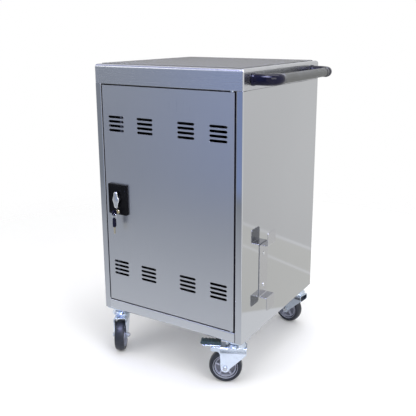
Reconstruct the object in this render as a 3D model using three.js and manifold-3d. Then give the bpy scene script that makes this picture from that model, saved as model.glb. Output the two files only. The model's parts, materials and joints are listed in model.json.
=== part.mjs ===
// Laptop charging cart: a folded-steel cabinet on four swivel casters. Millimetres, +Z up, front towards -Y.
import * as THREE from 'three';
import { mergeVertices } from 'three/addons/utils/BufferGeometryUtils.js';
import Module from 'manifold-3d';

// Overall sizes of the cabinet on its casters
const WIDTH = 531;
const DEPTH = 538.5;
const HEIGHT = 973;
const CASTER_HEIGHT = 150;

// Sheet metal and clearances
const SHEET = 1.5;
const BEND = 2;
const SEAT = 0.3;
const SEAM = 0.6;
const RUNNING = 0.4;
const OVERCUT = 2;

// Cabinet shell
const COVER_SKIRT = 60;
const COVER_EDGE = 10;
const MAT_THICKNESS = 2;
const MAT_INSET = 14;
const MAT_CORNER = 10;
const POST_WIDTH = 23;
const JAMB_DEPTH = 22;
const SILL_HEIGHT = 33;
const SILL_RETURN = 22;
const PANEL_FLANGE = 20;
const RAIL_LIP = 12;
const RAIL_DEPTH = 44;
const RAIL_RISE = 38;

// Doors
const DOOR_GAP = 4.5;
const DOOR_DEPTH = 18;
const DOOR_LIP = 14;
const PIVOT_INSET = 12;
const PIVOT_DEPTH = 10;
const PIVOT_RADIUS = 4;
const PIVOT_COLLAR = 7;
const PIVOT_REACH = 8;
const PIVOT_SHANK = 24;

// Vent slots, in groups of four
const SLOT_LENGTH = 60;
const SLOT_HEIGHT = 8;
const SLOT_PITCH = 14;
const SLOTS_IN_GROUP = 4;
const SLOT_FACETS = 3;
const VENT_FROM_EDGE = 52;
const VENT_FROM_MIDDLE = 75;
const UPPER_VENT_DROP = 98;
const LOWER_VENT_RISE = 98;

// Cam lock of the rear door
const REAR_LOCK_INSET = 32;
const REAR_LOCK_RADIUS = 9.5;
const REAR_LOCK_FLANGE = 13;
const REAR_LOCK_PROUD = 3;
const CAM_GAP = 2;
const CAM_WIDTH = 16;
const CAM_LENGTH = 48;
const CAM_THICKNESS = 2.5;

// Three-point lock
const LOCK_FROM_LEFT = 51;
const LOCK_BELOW_TOP = 363;
const LOCK_WIDTH = 74;
const LOCK_LENGTH = 100;
const LOCK_THICKNESS = 8;
const LOCK_CORNER = 6;
const LOCK_BEVEL = 1.5;
const CYLINDER_DROP = 40.5;
const CYLINDER_RADIUS = 7;
const CYLINDER_PROUD = 1.5;
const SPINDLE_RADIUS = 5;
const GRIP_LENGTH = 54;
const GRIP_END = 15;
const GRIP_HUB_RADIUS = 13;
const GRIP_THICKNESS = 9;
const GRIP_STAND = 2.5;
const GEAR_MODULE = 2;
const GEAR_TEETH = 10;
const ADDENDUM = 0.9;
const DEDENDUM = 1.25;
const FLANK_STEPS = 2;
const PRESSURE_ANGLE = THREE.MathUtils.degToRad(25);
const BACKLASH = 0.5;
const ROD_WIDTH = 8;
const ROD_THICKNESS = 6;
const ROD_DEPTH = 8;
const ROD_REST_GAP = 2;
const RACK_TEETH = 6;
const RACK_LEAD = 1.5;
const GUIDE_LENGTH = 16;
const GUIDE_FOOT = 12;
const GUIDE_FROM_END = 58;

// Keys
const KEY_THICKNESS = 2.2;
const KEY_BLADE = 7;
const KEY_INSERTED = 12;
const KEY_NECK = 8;
const KEY_BOW_RADIUS = 9;
const KEY_HOLE_RADIUS = 3.8;
const KEY_HOLE_SIDES = 12;
const RING_RADIUS = 8.5;
const RING_WIRE = 0.9;
const SPARE_HEAD_LENGTH = 32;
const SPARE_HEAD_WIDTH = 14;
const KEY_HEAD_THICKNESS = 5;
const SPARE_BLADE_LENGTH = 22;

// Interior
const POWER_BAY = 140;
const SHELF_HEIGHT = 548;
const SHELF_SETBACK = 46;
const SHELF_FLANGE = 18;
const PARTITION_FLANGE = 16;
const PARTITION_TOP_GAP = 28;
const CABLE_PORT_WIDTH = 90;
const CABLE_PORT_HEIGHT = 40;
const CABLE_PORT_SPREAD = 416;
const CABLE_PORT_DROP = 110;
const RACK_SLOTS = 10;
const RACK_SETBACK = 14;
const RACK_SIDE_GAP = 4;
const RACK_TRAY = 2;
const DIVIDER_THICKNESS = 2;
const DIVIDER_HEIGHT = 190;
const DIVIDER_INSET = 12;
const DIVIDER_CORNER = 70;
const STRIP_WIDTH = 46;
const STRIP_DEPTH = 42;
const STRIP_LENGTH = 560;
const STRIP_SPREAD = 260;
const STRIP_RISE = 90;
const STRIP_CORNER = 5;
const STRIP_SOCKETS = 10;
const SOCKET_SIZE = 34;
const SOCKET_DEPTH = 2.5;
const INLET_FROM_REAR = 68;
const INLET_RISE = 70;
const INLET_WIDTH = 30;
const INLET_HEIGHT = 24;
const INLET_FLANGE = 9;
const INLET_FLANGE_THICKNESS = 3;
const INLET_DEPTH = 26;
const INLET_RECESS = 17;
const INLET_WALL = 3;
const INLET_BLADE_LENGTH = 12;
const INLET_BLADE_THICKNESS = 2;
const INLET_BLADE_HEIGHT = 4;
const INLET_BLADE_SPREAD = 7;
const INLET_BLADE_OFFSET = 3.5;

// Push handle on the right side
const HANDLE_DROP = 31;
const HANDLE_STANDOFF = 63;
const HANDLE_INSET = 57.25;
const BAR_RADIUS = 14;
const COLLAR_RADIUS = 15.2;
const COLLAR_LENGTH = 14;
const ELBOW_RADIUS = 16.5;
const ELBOW_BEND = 34;
const ELBOW_TAIL = 6;
const ELBOW_STEPS = 5;
const COLLAR_GROOVE = 1;
const COLLAR_GROOVES = 2;

// Cord cleat on the right panel
const CLEAT_WIDTH = 54;
const CLEAT_LENGTH = 172;
const CLEAT_STAND = 28;
const CLEAT_LIP = 42;
const CLEAT_FROM_FRONT = 138;
const CLEAT_RISE = 200;
const CLEAT_THICKNESS = 2;
const CLEAT_CORNER = 8;

// Casters
const CASTER_INSET = 39;
const WHEEL_RADIUS = 53;
const TYRE_WIDTH = 32;
const TYRE_DEPTH = 14;
const TYRE_CROWN = 5;
const TYRE_SHOULDER = 8;
const WHEEL_SIDES = 18;
const HUB_RADIUS = 11;
const HUB_WEB = 7;
const HUB_RIM = 4;
const HUB_RIM_INSET = 2;
const HUB_BOSS_PROUD = 1.5;
const SPOKES = 5;
const SPOKE_WIDTH = 5;
const SPOKE_INSET = 5;
const AXLE_RADIUS = 4;
const AXLE_HEAD = 7.5;
const AXLE_HEAD_HEIGHT = 5.5;
const AXLE_TAIL = 3;
const TRAIL = 32;
const PLATE_SIZE = 74;
const PLATE_THICKNESS = 3;
const PLATE_CORNER = 8;
const PLATE_BOLT_SPACING = 54;
const PLATE_BOLT_RADIUS = 4.2;
const RACE_RADIUS = 27;
const RACE_HEIGHT = 12;
const KINGPIN_RADIUS = 6;
const KINGPIN_HEAD = 10;
const KINGPIN_HEAD_HEIGHT = 5;
const DOME_RADIUS = 32;
const DOME_HEIGHT = 13;
const FORK_SHEET = 3.5;
const FORK_BACK = 34;
const FORK_FRONT = 16;
const FORK_LEG_END = 14;
const FORK_SHOULDER = 15;
const FORK_CLEARANCE = 2.5;
const EAR_REACH = 30;
const EAR_DEPTH = 13;
const PEDAL_PIVOT_RADIUS = 3;
const PEDAL_REACH = 39;
const PEDAL_HEEL = 25;
const PEDAL_LIFT = 5;
const PEDAL_THICKNESS = 9;
const PEDAL_WIDTH = 28;
const PEDAL_RIBS = 5;
const PEDAL_RIB_DEPTH = 1.6;
const LEVER_THICKNESS = 4;
// Trail directions of the four casters, in degrees from +X
const CASTERS = [
  { name: 'front_left', x: -1, y: -1, trail: -60, brake: false },
  { name: 'front_right', x: 1, y: -1, trail: 205, brake: true },
  { name: 'rear_left', x: -1, y: 1, trail: -20, brake: false },
  { name: 'rear_right', x: 1, y: 1, trail: 170, brake: true },
];

// Places worked out from the sizes above
const halfW = WIDTH / 2;
const halfD = DEPTH / 2;
const floorZ = CASTER_HEIGHT;
const coverTop = HEIGHT - MAT_THICKNESS;
const coverBottom = coverTop - COVER_SKIRT;
const panelTop = coverBottom - SEAM;
const sillTop = floorZ + SILL_HEIGHT;
const doorBottom = sillTop + DOOR_GAP;
const doorTop = coverBottom - DOOR_GAP;
const doorHalf = halfW - POST_WIDTH - DOOR_GAP;
const pivotX = doorHalf - PIVOT_INSET;
const pitchRadius = GEAR_MODULE * GEAR_TEETH / 2;
const addendum = ADDENDUM * GEAR_MODULE;
const dedendum = DEDENDUM * GEAR_MODULE;
const lockX = LOCK_FROM_LEFT - doorHalf;
const lockZ = doorTop - LOCK_BELOW_TOP;
const rodOffset = pitchRadius + dedendum + ROD_WIDTH / 2;
const rodY = -halfD + ROD_DEPTH;
const partitionY = halfD - POWER_BAY;
const wheelCentre = WHEEL_RADIUS * Math.cos(Math.PI / WHEEL_SIDES);

const steel = new THREE.MeshStandardMaterial({ color: 0xb9bcc2, roughness: 0.32, metalness: 1 });
const zinc = new THREE.MeshStandardMaterial({ color: 0xd3dbe6, roughness: 0.3, metalness: 1 });
const blackPlastic = new THREE.MeshStandardMaterial({ color: 0x14141a, roughness: 0.25, metalness: 0 });
const greyRubber = new THREE.MeshStandardMaterial({ color: 0x44484f, roughness: 0.8, metalness: 0 });
const matRubber = new THREE.MeshStandardMaterial({ color: 0x6d6e70, roughness: 0.9, metalness: 0 });
const hubPlastic = new THREE.MeshStandardMaterial({ color: 0x9a9fb4, roughness: 0.5, metalness: 0 });
const pedalPlastic = new THREE.MeshStandardMaterial({ color: 0x1d3a46, roughness: 0.5, metalness: 0 });
const gripPlastic = new THREE.MeshStandardMaterial({ color: 0x626465, roughness: 0.6, metalness: 0 });

const wasm = await Module();
wasm.setup();

// A closed three.js geometry as a solid that can be joined and cut
function solid(geometry) {
  const bare = geometry.clone();
  bare.deleteAttribute('normal');
  bare.deleteAttribute('uv');
  const merged = mergeVertices(bare, 1e-4);
  return new wasm.Manifold(new wasm.Mesh({
    numProp: 3,
    vertProperties: new Float32Array(merged.attributes.position.array),
    triVerts: new Uint32Array(merged.index.array),
  }));
}

function toGeometry(body) {
  const mesh = body.getMesh();
  const geometry = new THREE.BufferGeometry();
  geometry.setAttribute('position', new THREE.BufferAttribute(mesh.vertProperties, 3));
  geometry.setIndex(new THREE.BufferAttribute(mesh.triVerts, 1));
  geometry.computeVertexNormals();
  return geometry;
}

const addAll = (first, ...others) => others.reduce((body, other) => body.add(other), first);
const cutAll = (first, ...others) => others.reduce((body, other) => body.subtract(other), first);

const cart = new THREE.Group();

function place(name, body, material, parent = cart) {
  const mesh = new THREE.Mesh(toGeometry(body), material);
  mesh.name = name;
  parent.add(mesh);
  return mesh;
}

// A box between two limits on each axis
function block([x0, x1], [y0, y1], [z0, z1]) {
  const box = new THREE.BoxGeometry(Math.abs(x1 - x0), Math.abs(y1 - y0), Math.abs(z1 - z0));
  box.translate((x0 + x1) / 2, (y0 + y1) / 2, (z0 + z1) / 2);
  return solid(box);
}

// A flat outline carried along one axis between two limits, with so many facets to each arc.
// Its plane is (x, y) along Z, (y, z) along X and (x, z) along Y.
function prism(shape, axis, from, to, facets = 4) {
  const body = new THREE.ExtrudeGeometry(shape, {
    depth: to - from,
    bevelEnabled: false,
    curveSegments: facets / 2,
  });
  const x = new THREE.Vector3(1, 0, 0);
  const y = new THREE.Vector3(0, 1, 0);
  const z = new THREE.Vector3(0, 0, 1);
  const turn = new THREE.Matrix4();
  if (axis === 'x') turn.makeBasis(y, z, x).setPosition(from, 0, 0);
  if (axis === 'y') turn.makeBasis(x, z, y.clone().negate()).setPosition(0, to, 0);
  if (axis === 'z') turn.setPosition(0, 0, from);
  return solid(body.applyMatrix4(turn));
}

// A round bar along one axis, centred on the other two
function bar(radius, axis, from, to, [a, b], sides = 12) {
  const outline = new THREE.Shape();
  outline.absarc(a, b, radius, 0, 2 * Math.PI);
  return prism(outline, axis, from, to, sides);
}

// A rectangle with round corners, centred at (a, b)
function roundedRectangle(width, height, radius, [a, b] = [0, 0]) {
  const w = width / 2;
  const h = height / 2;
  const shape = new THREE.Shape();
  shape.absarc(a + w - radius, b + h - radius, radius, 0, Math.PI / 2);
  shape.absarc(a - w + radius, b + h - radius, radius, Math.PI / 2, Math.PI);
  shape.absarc(a - w + radius, b - h + radius, radius, Math.PI, 1.5 * Math.PI);
  shape.absarc(a + w - radius, b - h + radius, radius, 1.5 * Math.PI, 2 * Math.PI);
  shape.closePath();
  return shape;
}

function polygon(points) {
  return new THREE.Shape(points.map(([a, b]) => new THREE.Vector2(a, b)));
}

// Section of a folded strip: its middle line runs through the points, with a round fold between runs
function foldedStrip(points, thickness = SHEET, bend = BEND, steps = 3) {
  const line = points.map(([a, b]) => new THREE.Vector2(a, b));
  const radius = bend + thickness / 2;
  const left = [];
  const right = [];
  const station = (point, normal) => {
    left.push(point.clone().addScaledVector(normal, thickness / 2));
    right.unshift(point.clone().addScaledVector(normal, -thickness / 2));
  };
  const square = (direction) => new THREE.Vector2(-direction.y, direction.x);
  line.forEach((point, i) => {
    const before = i > 0 ? point.clone().sub(line[i - 1]).normalize() : null;
    const after = i < line.length - 1 ? line[i + 1].clone().sub(point).normalize() : null;
    if (!before || !after) {
      station(point, square(before ?? after));
      return;
    }
    const angle = Math.atan2(before.cross(after), before.dot(after));
    const side = Math.sign(angle);
    const setback = radius * Math.tan(Math.abs(angle) / 2);
    const start = point.clone().addScaledVector(before, -setback);
    const centre = start.addScaledVector(square(before), side * radius);
    for (let k = 0; k <= steps; k += 1) {
      const normal = square(before).rotateAround(new THREE.Vector2(), angle * k / steps);
      station(centre.clone().addScaledVector(normal, -side * radius), normal);
    }
  });
  return new THREE.Shape([...left, ...right]);
}

// A solid of revolution about Y from a closed outline of (radius, place along Y) points
function revolve(points, sides) {
  const outline = points.map(([r, y]) => new THREE.Vector2(r, y));
  return solid(new THREE.LatheGeometry([...outline, outline[0].clone()], sides, Math.PI / sides));
}

// A round tube along a path
function sweep(path, radius, steps, sides = 16) {
  const ring = Array.from({ length: sides }, (_, i) => {
    const angle = 2 * Math.PI * i / sides;
    return new THREE.Vector2(radius * Math.cos(angle), radius * Math.sin(angle));
  });
  return solid(new THREE.ExtrudeGeometry(new THREE.Shape(ring), { extrudePath: path, steps }));
}

// Top cover: a folded pan with round top edges, open below
function coverBlock(inset, bottom) {
  const edge = COVER_EDGE - inset;
  const top = coverTop - inset;
  const arch = (half) => {
    const shape = new THREE.Shape();
    shape.moveTo(-half, bottom);
    shape.lineTo(half, bottom);
    shape.absarc(half - edge, top - edge, edge, 0, Math.PI / 2);
    shape.absarc(-half + edge, top - edge, edge, Math.PI / 2, Math.PI);
    shape.closePath();
    return shape;
  };
  const across = prism(arch(halfW - inset), 'y', -halfD, halfD);
  const along = prism(arch(halfD - inset), 'x', -halfW, halfW);
  const corner = BEND + SHEET - inset;
  const plan = roundedRectangle(WIDTH - 2 * inset, DEPTH - 2 * inset, corner);
  return across.intersect(along).intersect(prism(plan, 'z', bottom, top, 2));
}
const cover = coverBlock(0, coverBottom).subtract(coverBlock(SHEET, coverBottom - OVERCUT));
place('top_cover', cover, steel);

const matOutline = roundedRectangle(WIDTH - 2 * MAT_INSET, DEPTH - 2 * MAT_INSET, MAT_CORNER);
place('top_mat', prism(matOutline, 'z', coverTop + SEAT, HEIGHT), matRubber);

// Side panels: one sheet each, folded into the front and rear posts and their jambs
function sidePanel(side) {
  const outer = side * (halfW - SHEET / 2);
  const jamb = side * (halfW - POST_WIDTH + SHEET / 2);
  const face = halfD - SHEET / 2;
  const section = foldedStrip([
    [jamb, -halfD + JAMB_DEPTH],
    [jamb, -face],
    [outer, -face],
    [outer, face],
    [jamb, face],
    [jamb, halfD - JAMB_DEPTH],
  ]);
  const flangeReach = halfD - JAMB_DEPTH - BEND;
  const flange = block(
    [outer, side * (halfW - SHEET - PANEL_FLANGE)],
    [-flangeReach, flangeReach],
    [panelTop - SHEET, panelTop],
  );
  return prism(section, 'z', floorZ, panelTop).add(flange);
}
const inletY = halfD - INLET_FROM_REAR;
const inletZ = floorZ + INLET_RISE;
const inletHole = block(
  [-halfW - OVERCUT, -halfW + SHEET + OVERCUT],
  [inletY - INLET_WIDTH / 2 - SEAT, inletY + INLET_WIDTH / 2 + SEAT],
  [inletZ - INLET_HEIGHT / 2 - SEAT, inletZ + INLET_HEIGHT / 2 + SEAT],
);
place('left_side_panel', sidePanel(-1).subtract(inletHole), steel);
place('right_side_panel', sidePanel(1), steel);

// Round hole for a door pivot and square hole for a lock rod, through level sheet at one height
function pivotHole(end, level) {
  const centre = [pivotX, end * (halfD - PIVOT_DEPTH)];
  return bar(PIVOT_RADIUS + RUNNING, 'z', level - SHEET - OVERCUT, level + SHEET + OVERCUT, centre);
}
function rodHole(side, level) {
  const x = lockX + side * rodOffset;
  const halfWidth = ROD_WIDTH / 2 + RUNNING;
  const halfThickness = ROD_THICKNESS / 2 + RUNNING;
  return block(
    [x - halfWidth, x + halfWidth],
    [rodY - halfThickness, rodY + halfThickness],
    [level - SHEET - OVERCUT, level + SHEET + OVERCUT],
  );
}

// Base pan: floor with the front and rear sills folded up between the posts
const sillLevel = sillTop - SHEET / 2;
const sillFace = halfD - SHEET / 2;
const sillSection = foldedStrip([
  [-halfD + SILL_RETURN, sillLevel],
  [-sillFace, sillLevel],
  [-sillFace, floorZ + SHEET / 2],
  [sillFace, floorZ + SHEET / 2],
  [sillFace, sillLevel],
  [halfD - SILL_RETURN, sillLevel],
]);
const sillReach = halfW - POST_WIDTH - SEAT;
const insideReach = halfW - SHEET - SEAT;
const floorReach = halfD - JAMB_DEPTH - SEAT;
const floorSheet = block([-insideReach, insideReach], [-floorReach, floorReach], [floorZ, floorZ + SHEET]);
const basePan = cutAll(
  prism(sillSection, 'x', -sillReach, sillReach).add(floorSheet),
  pivotHole(-1, sillLevel),
  pivotHole(1, sillLevel),
  rodHole(-1, sillLevel),
);
place('base_pan', basePan, steel);

// Rails behind the cover's skirt, over each door
function rail(end) {
  const near = end * (halfD - SHEET - SEAT - SHEET / 2);
  const far = end * (halfD - SHEET - SEAT - RAIL_DEPTH);
  const low = coverBottom + SHEET / 2;
  const section = foldedStrip([[near, low + RAIL_LIP], [near, low], [far, low], [far, low + RAIL_RISE]]);
  const reach = insideReach - BEND;
  return prism(section, 'x', -reach, reach).subtract(pivotHole(end, low));
}
place('header_rail', rail(-1).subtract(rodHole(1, coverBottom)), steel);
place('rear_rail', rail(1), steel);

// Doors: pans with a return and a lip on every edge, and vent slots in the face
function slotOutline(x, z) {
  const run = (SLOT_LENGTH - SLOT_HEIGHT) / 2;
  const shape = new THREE.Shape();
  shape.absarc(x + run, z, SLOT_HEIGHT / 2, -Math.PI / 2, Math.PI / 2);
  shape.absarc(x - run, z, SLOT_HEIGHT / 2, Math.PI / 2, 1.5 * Math.PI);
  shape.closePath();
  return shape;
}
const outerColumn = doorHalf - VENT_FROM_EDGE;
const ventColumns = [-outerColumn, -VENT_FROM_MIDDLE, VENT_FROM_MIDDLE, outerColumn];
const ventLevels = Array.from({ length: SLOTS_IN_GROUP }, (_, k) => [
  doorTop - UPPER_VENT_DROP - k * SLOT_PITCH,
  doorBottom + LOWER_VENT_RISE + k * SLOT_PITCH,
]).flat();

function doorPan(end, columns) {
  const at = (depth) => end * (halfD - depth);
  const outside = block([-doorHalf, doorHalf], [at(0), at(DOOR_DEPTH)], [doorBottom, doorTop]);
  const inside = block(
    [-doorHalf + SHEET, doorHalf - SHEET],
    [at(SHEET), at(DOOR_DEPTH - SHEET)],
    [doorBottom + SHEET, doorTop - SHEET],
  );
  const mouth = block(
    [-doorHalf + DOOR_LIP, doorHalf - DOOR_LIP],
    [at(DOOR_DEPTH / 2), at(DOOR_DEPTH + OVERCUT)],
    [doorBottom + DOOR_LIP, doorTop - DOOR_LIP],
  );
  const [y0, y1] = [at(-OVERCUT), at(SHEET + OVERCUT)].sort((a, b) => a - b);
  const slots = ventLevels.flatMap((z) => columns.map((x) => (
    prism(slotOutline(x, z), 'y', y0, y1, SLOT_FACETS)
  )));
  return cutAll(outside, inside, mouth, ...slots);
}

// Pivot pins stand in the door's returns and turn in the rail and the sill
function pivotPin(end, up, root) {
  const centre = [pivotX, end * (halfD - PIVOT_DEPTH)];
  const edge = up > 0 ? doorTop : doorBottom;
  const inner = edge - up * PIVOT_SHANK;
  const outer = edge + up * (DOOR_GAP + SHEET + PIVOT_REACH);
  const collar = [edge + up * root, edge + up * (DOOR_GAP - SEAT)].sort((a, b) => a - b);
  const pin = bar(PIVOT_RADIUS, 'z', Math.min(inner, outer), Math.max(inner, outer), centre);
  return pin.add(bar(PIVOT_COLLAR, 'z', ...collar, centre));
}
const cylinderZ = lockZ - CYLINDER_DROP;
const frontDoor = cutAll(
  doorPan(-1, ventColumns),
  pivotHole(-1, doorTop),
  pivotHole(-1, doorBottom),
  rodHole(1, doorTop),
  rodHole(-1, doorBottom),
  bar(SPINDLE_RADIUS + RUNNING, 'y', -halfD - OVERCUT, -halfD + SHEET + OVERCUT, [lockX, lockZ]),
  bar(CYLINDER_RADIUS + RUNNING, 'y', -halfD - OVERCUT, -halfD + SHEET + OVERCUT, [lockX, cylinderZ]),
);
place('door_panel', frontDoor, steel);
place('hinge_pin_upper', pivotPin(-1, 1, SEAT), zinc);
place('hinge_pin_lower', pivotPin(-1, -1, SEAT), zinc);

// Lock housing: a bevelled plate on the face of the door
const plateFace = -halfD - SEAT - LOCK_THICKNESS;
function housing() {
  const outline = roundedRectangle(LOCK_WIDTH, LOCK_LENGTH, LOCK_CORNER);
  const plate = new THREE.ExtrudeGeometry(outline, {
    depth: LOCK_THICKNESS - LOCK_BEVEL,
    bevelThickness: LOCK_BEVEL,
    bevelSize: LOCK_BEVEL,
    bevelOffset: -LOCK_BEVEL,
    bevelSegments: 1,
    curveSegments: 2,
  });
  plate.rotateX(Math.PI / 2).translate(lockX, -halfD - SEAT, lockZ);
  const doorSide = block(
    [lockX - LOCK_WIDTH, lockX + LOCK_WIDTH],
    [-halfD - SEAT, -halfD + LOCK_THICKNESS],
    [lockZ - LOCK_LENGTH, lockZ + LOCK_LENGTH],
  );
  return cutAll(
    solid(plate),
    doorSide,
    bar(SPINDLE_RADIUS + RUNNING, 'y', plateFace - OVERCUT, -halfD, [lockX, lockZ]),
    bar(CYLINDER_RADIUS + RUNNING, 'y', plateFace - OVERCUT, -halfD, [lockX, cylinderZ]),
  );
}
place('lock_housing', housing(), blackPlastic);

// Turn handle: a waisted grip on a hub, with its spindle through the door
const gripFront = plateFace - GRIP_STAND - GRIP_THICKNESS;
const rodBack = rodY + ROD_THICKNESS / 2;
const gripOutline = roundedRectangle(GRIP_END, GRIP_LENGTH, GRIP_END / 2 - SEAT, [lockX, lockZ]);
const turnHandle = addAll(
  prism(gripOutline, 'y', gripFront, plateFace - GRIP_STAND),
  bar(GRIP_HUB_RADIUS, 'y', gripFront, plateFace - SEAT, [lockX, lockZ], 20),
  bar(SPINDLE_RADIUS, 'y', plateFace - GRIP_STAND, rodBack + SHEET, [lockX, lockZ]),
);
place('turn_handle', turnHandle, zinc);

// Pinion on the spindle: involute teeth, with one tooth towards each rack
function pinionOutline() {
  const base = pitchRadius * Math.cos(PRESSURE_ANGLE);
  const tip = pitchRadius + addendum;
  const root = pitchRadius - dedendum;
  const involute = (radius) => {
    const angle = Math.acos(base / radius);
    return Math.tan(angle) - angle;
  };
  const halfTooth = (Math.PI * GEAR_MODULE / 2 - BACKLASH) / 2 / pitchRadius;
  const flank = Array.from({ length: FLANK_STEPS + 1 }, (_, k) => base + (tip - base) * k / FLANK_STEPS)
    .map((radius) => [radius, halfTooth + involute(pitchRadius) - involute(radius)]);
  flank.unshift([root, flank[0][1]]);
  const points = [];
  for (let tooth = 0; tooth < GEAR_TEETH; tooth += 1) {
    const centre = 2 * Math.PI * tooth / GEAR_TEETH;
    flank.forEach(([radius, angle]) => points.push([radius, centre - angle]));
    flank.toReversed().forEach(([radius, angle]) => points.push([radius, centre + angle]));
  }
  return polygon(points.map(([radius, angle]) => [
    lockX + radius * Math.cos(angle),
    lockZ + radius * Math.sin(angle),
  ]));
}
const rodFront = rodY - ROD_THICKNESS / 2;
const spindleBore = bar(SPINDLE_RADIUS + SEAT, 'y', rodFront - OVERCUT, rodBack + OVERCUT, [lockX, lockZ]);
place('lock_pinion', prism(pinionOutline(), 'y', rodFront, rodBack).subtract(spindleBore), zinc);

// Lock rods: flat bars with a rack beside the pinion, the upper one on its right and the lower on its left
function lockRod(up) {
  const pitch = Math.PI * GEAR_MODULE;
  const slope = Math.tan(PRESSURE_ANGLE);
  const halfTooth = (pitch / 2 - BACKLASH) / 2;
  const rootX = lockX + up * (pitchRadius + dedendum);
  const tipX = lockX + up * (pitchRadius - addendum);
  const backX = rootX + up * ROD_WIDTH;
  const end = up > 0 ? coverBottom - ROD_REST_GAP : sillTop + ROD_REST_GAP;
  const taper = ROD_WIDTH / 4;
  const heel = lockZ - up * (RACK_TEETH - 1) * pitch;
  const firstTooth = RACK_LEAD + 1 - RACK_TEETH;
  const teeth = Array.from({ length: RACK_TEETH }, (_, k) => lockZ + up * (firstTooth + k) * pitch);
  const points = teeth.flatMap((z) => [
    [rootX, z - up * (halfTooth + dedendum * slope)],
    [tipX, z - up * (halfTooth - addendum * slope)],
    [tipX, z + up * (halfTooth - addendum * slope)],
    [rootX, z + up * (halfTooth + dedendum * slope)],
  ]);
  const outline = polygon([
    [backX, heel],
    [rootX, heel],
    ...points,
    [rootX, end - up * ROD_WIDTH],
    [rootX + up * taper, end],
    [backX - up * taper, end],
    [backX, end - up * ROD_WIDTH],
  ]);
  return prism(outline, 'y', rodFront, rodBack);
}
place('upper_lock_rod', lockRod(1), zinc);
place('lower_lock_rod', lockRod(-1), zinc);

// Guides: hat strips that hold the rods against the inside of the door
function rodGuide(up) {
  const x = lockX + up * rodOffset;
  const z = up > 0 ? doorTop - GUIDE_FROM_END : doorBottom + GUIDE_FROM_END;
  const wall = ROD_WIDTH / 2 + RUNNING + SHEET / 2;
  const foot = -halfD + SHEET + SEAT + SHEET / 2;
  const bridge = rodBack + RUNNING + SHEET / 2;
  const section = foldedStrip([
    [x - wall - GUIDE_FOOT, foot],
    [x - wall, foot],
    [x - wall, bridge],
    [x + wall, bridge],
    [x + wall, foot],
    [x + wall + GUIDE_FOOT, foot],
  ], SHEET, SEAT);
  return prism(section, 'z', z - GUIDE_LENGTH / 2, z + GUIDE_LENGTH / 2);
}
place('upper_rod_guide', rodGuide(1), zinc);
place('lower_rod_guide', rodGuide(-1), zinc);

// Key cylinder with its keyway, and the key standing in it
const cylinderFace = plateFace - CYLINDER_PROUD;
const keyway = block(
  [lockX - KEY_THICKNESS / 2 - RUNNING, lockX + KEY_THICKNESS / 2 + RUNNING],
  [cylinderFace - OVERCUT, cylinderFace + KEY_INSERTED + RUNNING],
  [cylinderZ - KEY_BLADE / 2 - RUNNING, cylinderZ + KEY_BLADE / 2 + RUNNING],
);
const cylinderBack = cylinderFace + KEY_INSERTED + SHEET;
const cylinderBody = bar(CYLINDER_RADIUS, 'y', cylinderFace, cylinderBack, [lockX, cylinderZ]);
place('lock_cylinder', cylinderBody.subtract(keyway), zinc);

const bowY = cylinderFace - KEY_NECK - KEY_BOW_RADIUS;
const keyBlade = block(
  [lockX - KEY_THICKNESS / 2, lockX + KEY_THICKNESS / 2],
  [bowY + KEY_BOW_RADIUS / 2, cylinderFace + KEY_INSERTED],
  [cylinderZ - KEY_BLADE / 2, cylinderZ + KEY_BLADE / 2],
);
const bowHalf = KEY_HEAD_THICKNESS / 2;
const bow = bar(KEY_BOW_RADIUS, 'x', lockX - bowHalf, lockX + bowHalf, [bowY, cylinderZ], 20);
const acrossBow = [lockX - bowHalf - OVERCUT, lockX + bowHalf + OVERCUT];
const bowHole = bar(KEY_HOLE_RADIUS, 'x', ...acrossBow, [bowY, cylinderZ], KEY_HOLE_SIDES);
place('key', bow.add(keyBlade).subtract(bowHole), blackPlastic);

// Spare key hanging on a ring through the bow of the first
const ringSag = RING_RADIUS - Math.sqrt(RING_RADIUS ** 2 - bowHalf ** 2);
const hangZ = cylinderZ - KEY_HOLE_RADIUS * Math.cos(Math.PI / KEY_HOLE_SIDES) + RING_WIRE + ringSag + SEAT;
const ringZ = hangZ - RING_RADIUS;
const ring = solid(new THREE.TorusGeometry(RING_RADIUS, RING_WIRE, 5, 16).rotateX(Math.PI / 2)
  .translate(lockX, bowY, ringZ));
place('key_ring', ring, zinc);

const headHoleRadius = RING_WIRE + ringSag + 2 * SEAT;
const spareHoleZ = ringZ - RING_RADIUS - SEAT;
const headTop = spareHoleZ + 2 * headHoleRadius;
const headOutline = roundedRectangle(
  SPARE_HEAD_WIDTH,
  SPARE_HEAD_LENGTH,
  SPARE_HEAD_WIDTH / 2 - SEAT,
  [bowY, headTop - SPARE_HEAD_LENGTH / 2],
);
const headBottom = headTop - SPARE_HEAD_LENGTH;
const spareBlade = block(
  [lockX - KEY_THICKNESS / 2, lockX + KEY_THICKNESS / 2],
  [bowY - KEY_BLADE / 2, bowY + KEY_BLADE / 2],
  [headBottom - SPARE_BLADE_LENGTH, headBottom + KEY_BLADE],
);
const spareHead = prism(headOutline, 'x', lockX - bowHalf, lockX + bowHalf);
const spareHole = bar(headHoleRadius, 'x', ...acrossBow, [bowY, spareHoleZ], KEY_HOLE_SIDES);
place('spare_key', spareHead.add(spareBlade).subtract(spareHole), blackPlastic);

// Rear service door with its pivots, and the quarter-turn cam lock on its free side
const rearLockX = REAR_LOCK_INSET - doorHalf;
const rearLockZ = (doorTop + doorBottom) / 2;
const rearLockCentre = [rearLockX, rearLockZ];
const throughFace = [halfD - SHEET - OVERCUT, halfD + OVERCUT];
const rearDoor = addAll(
  doorPan(1, [0]).subtract(bar(REAR_LOCK_RADIUS + RUNNING, 'y', ...throughFace, rearLockCentre)),
  pivotPin(1, 1, -SHEET / 2),
  pivotPin(1, -1, -SHEET / 2),
);
place('rear_door', rearDoor, steel);

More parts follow.
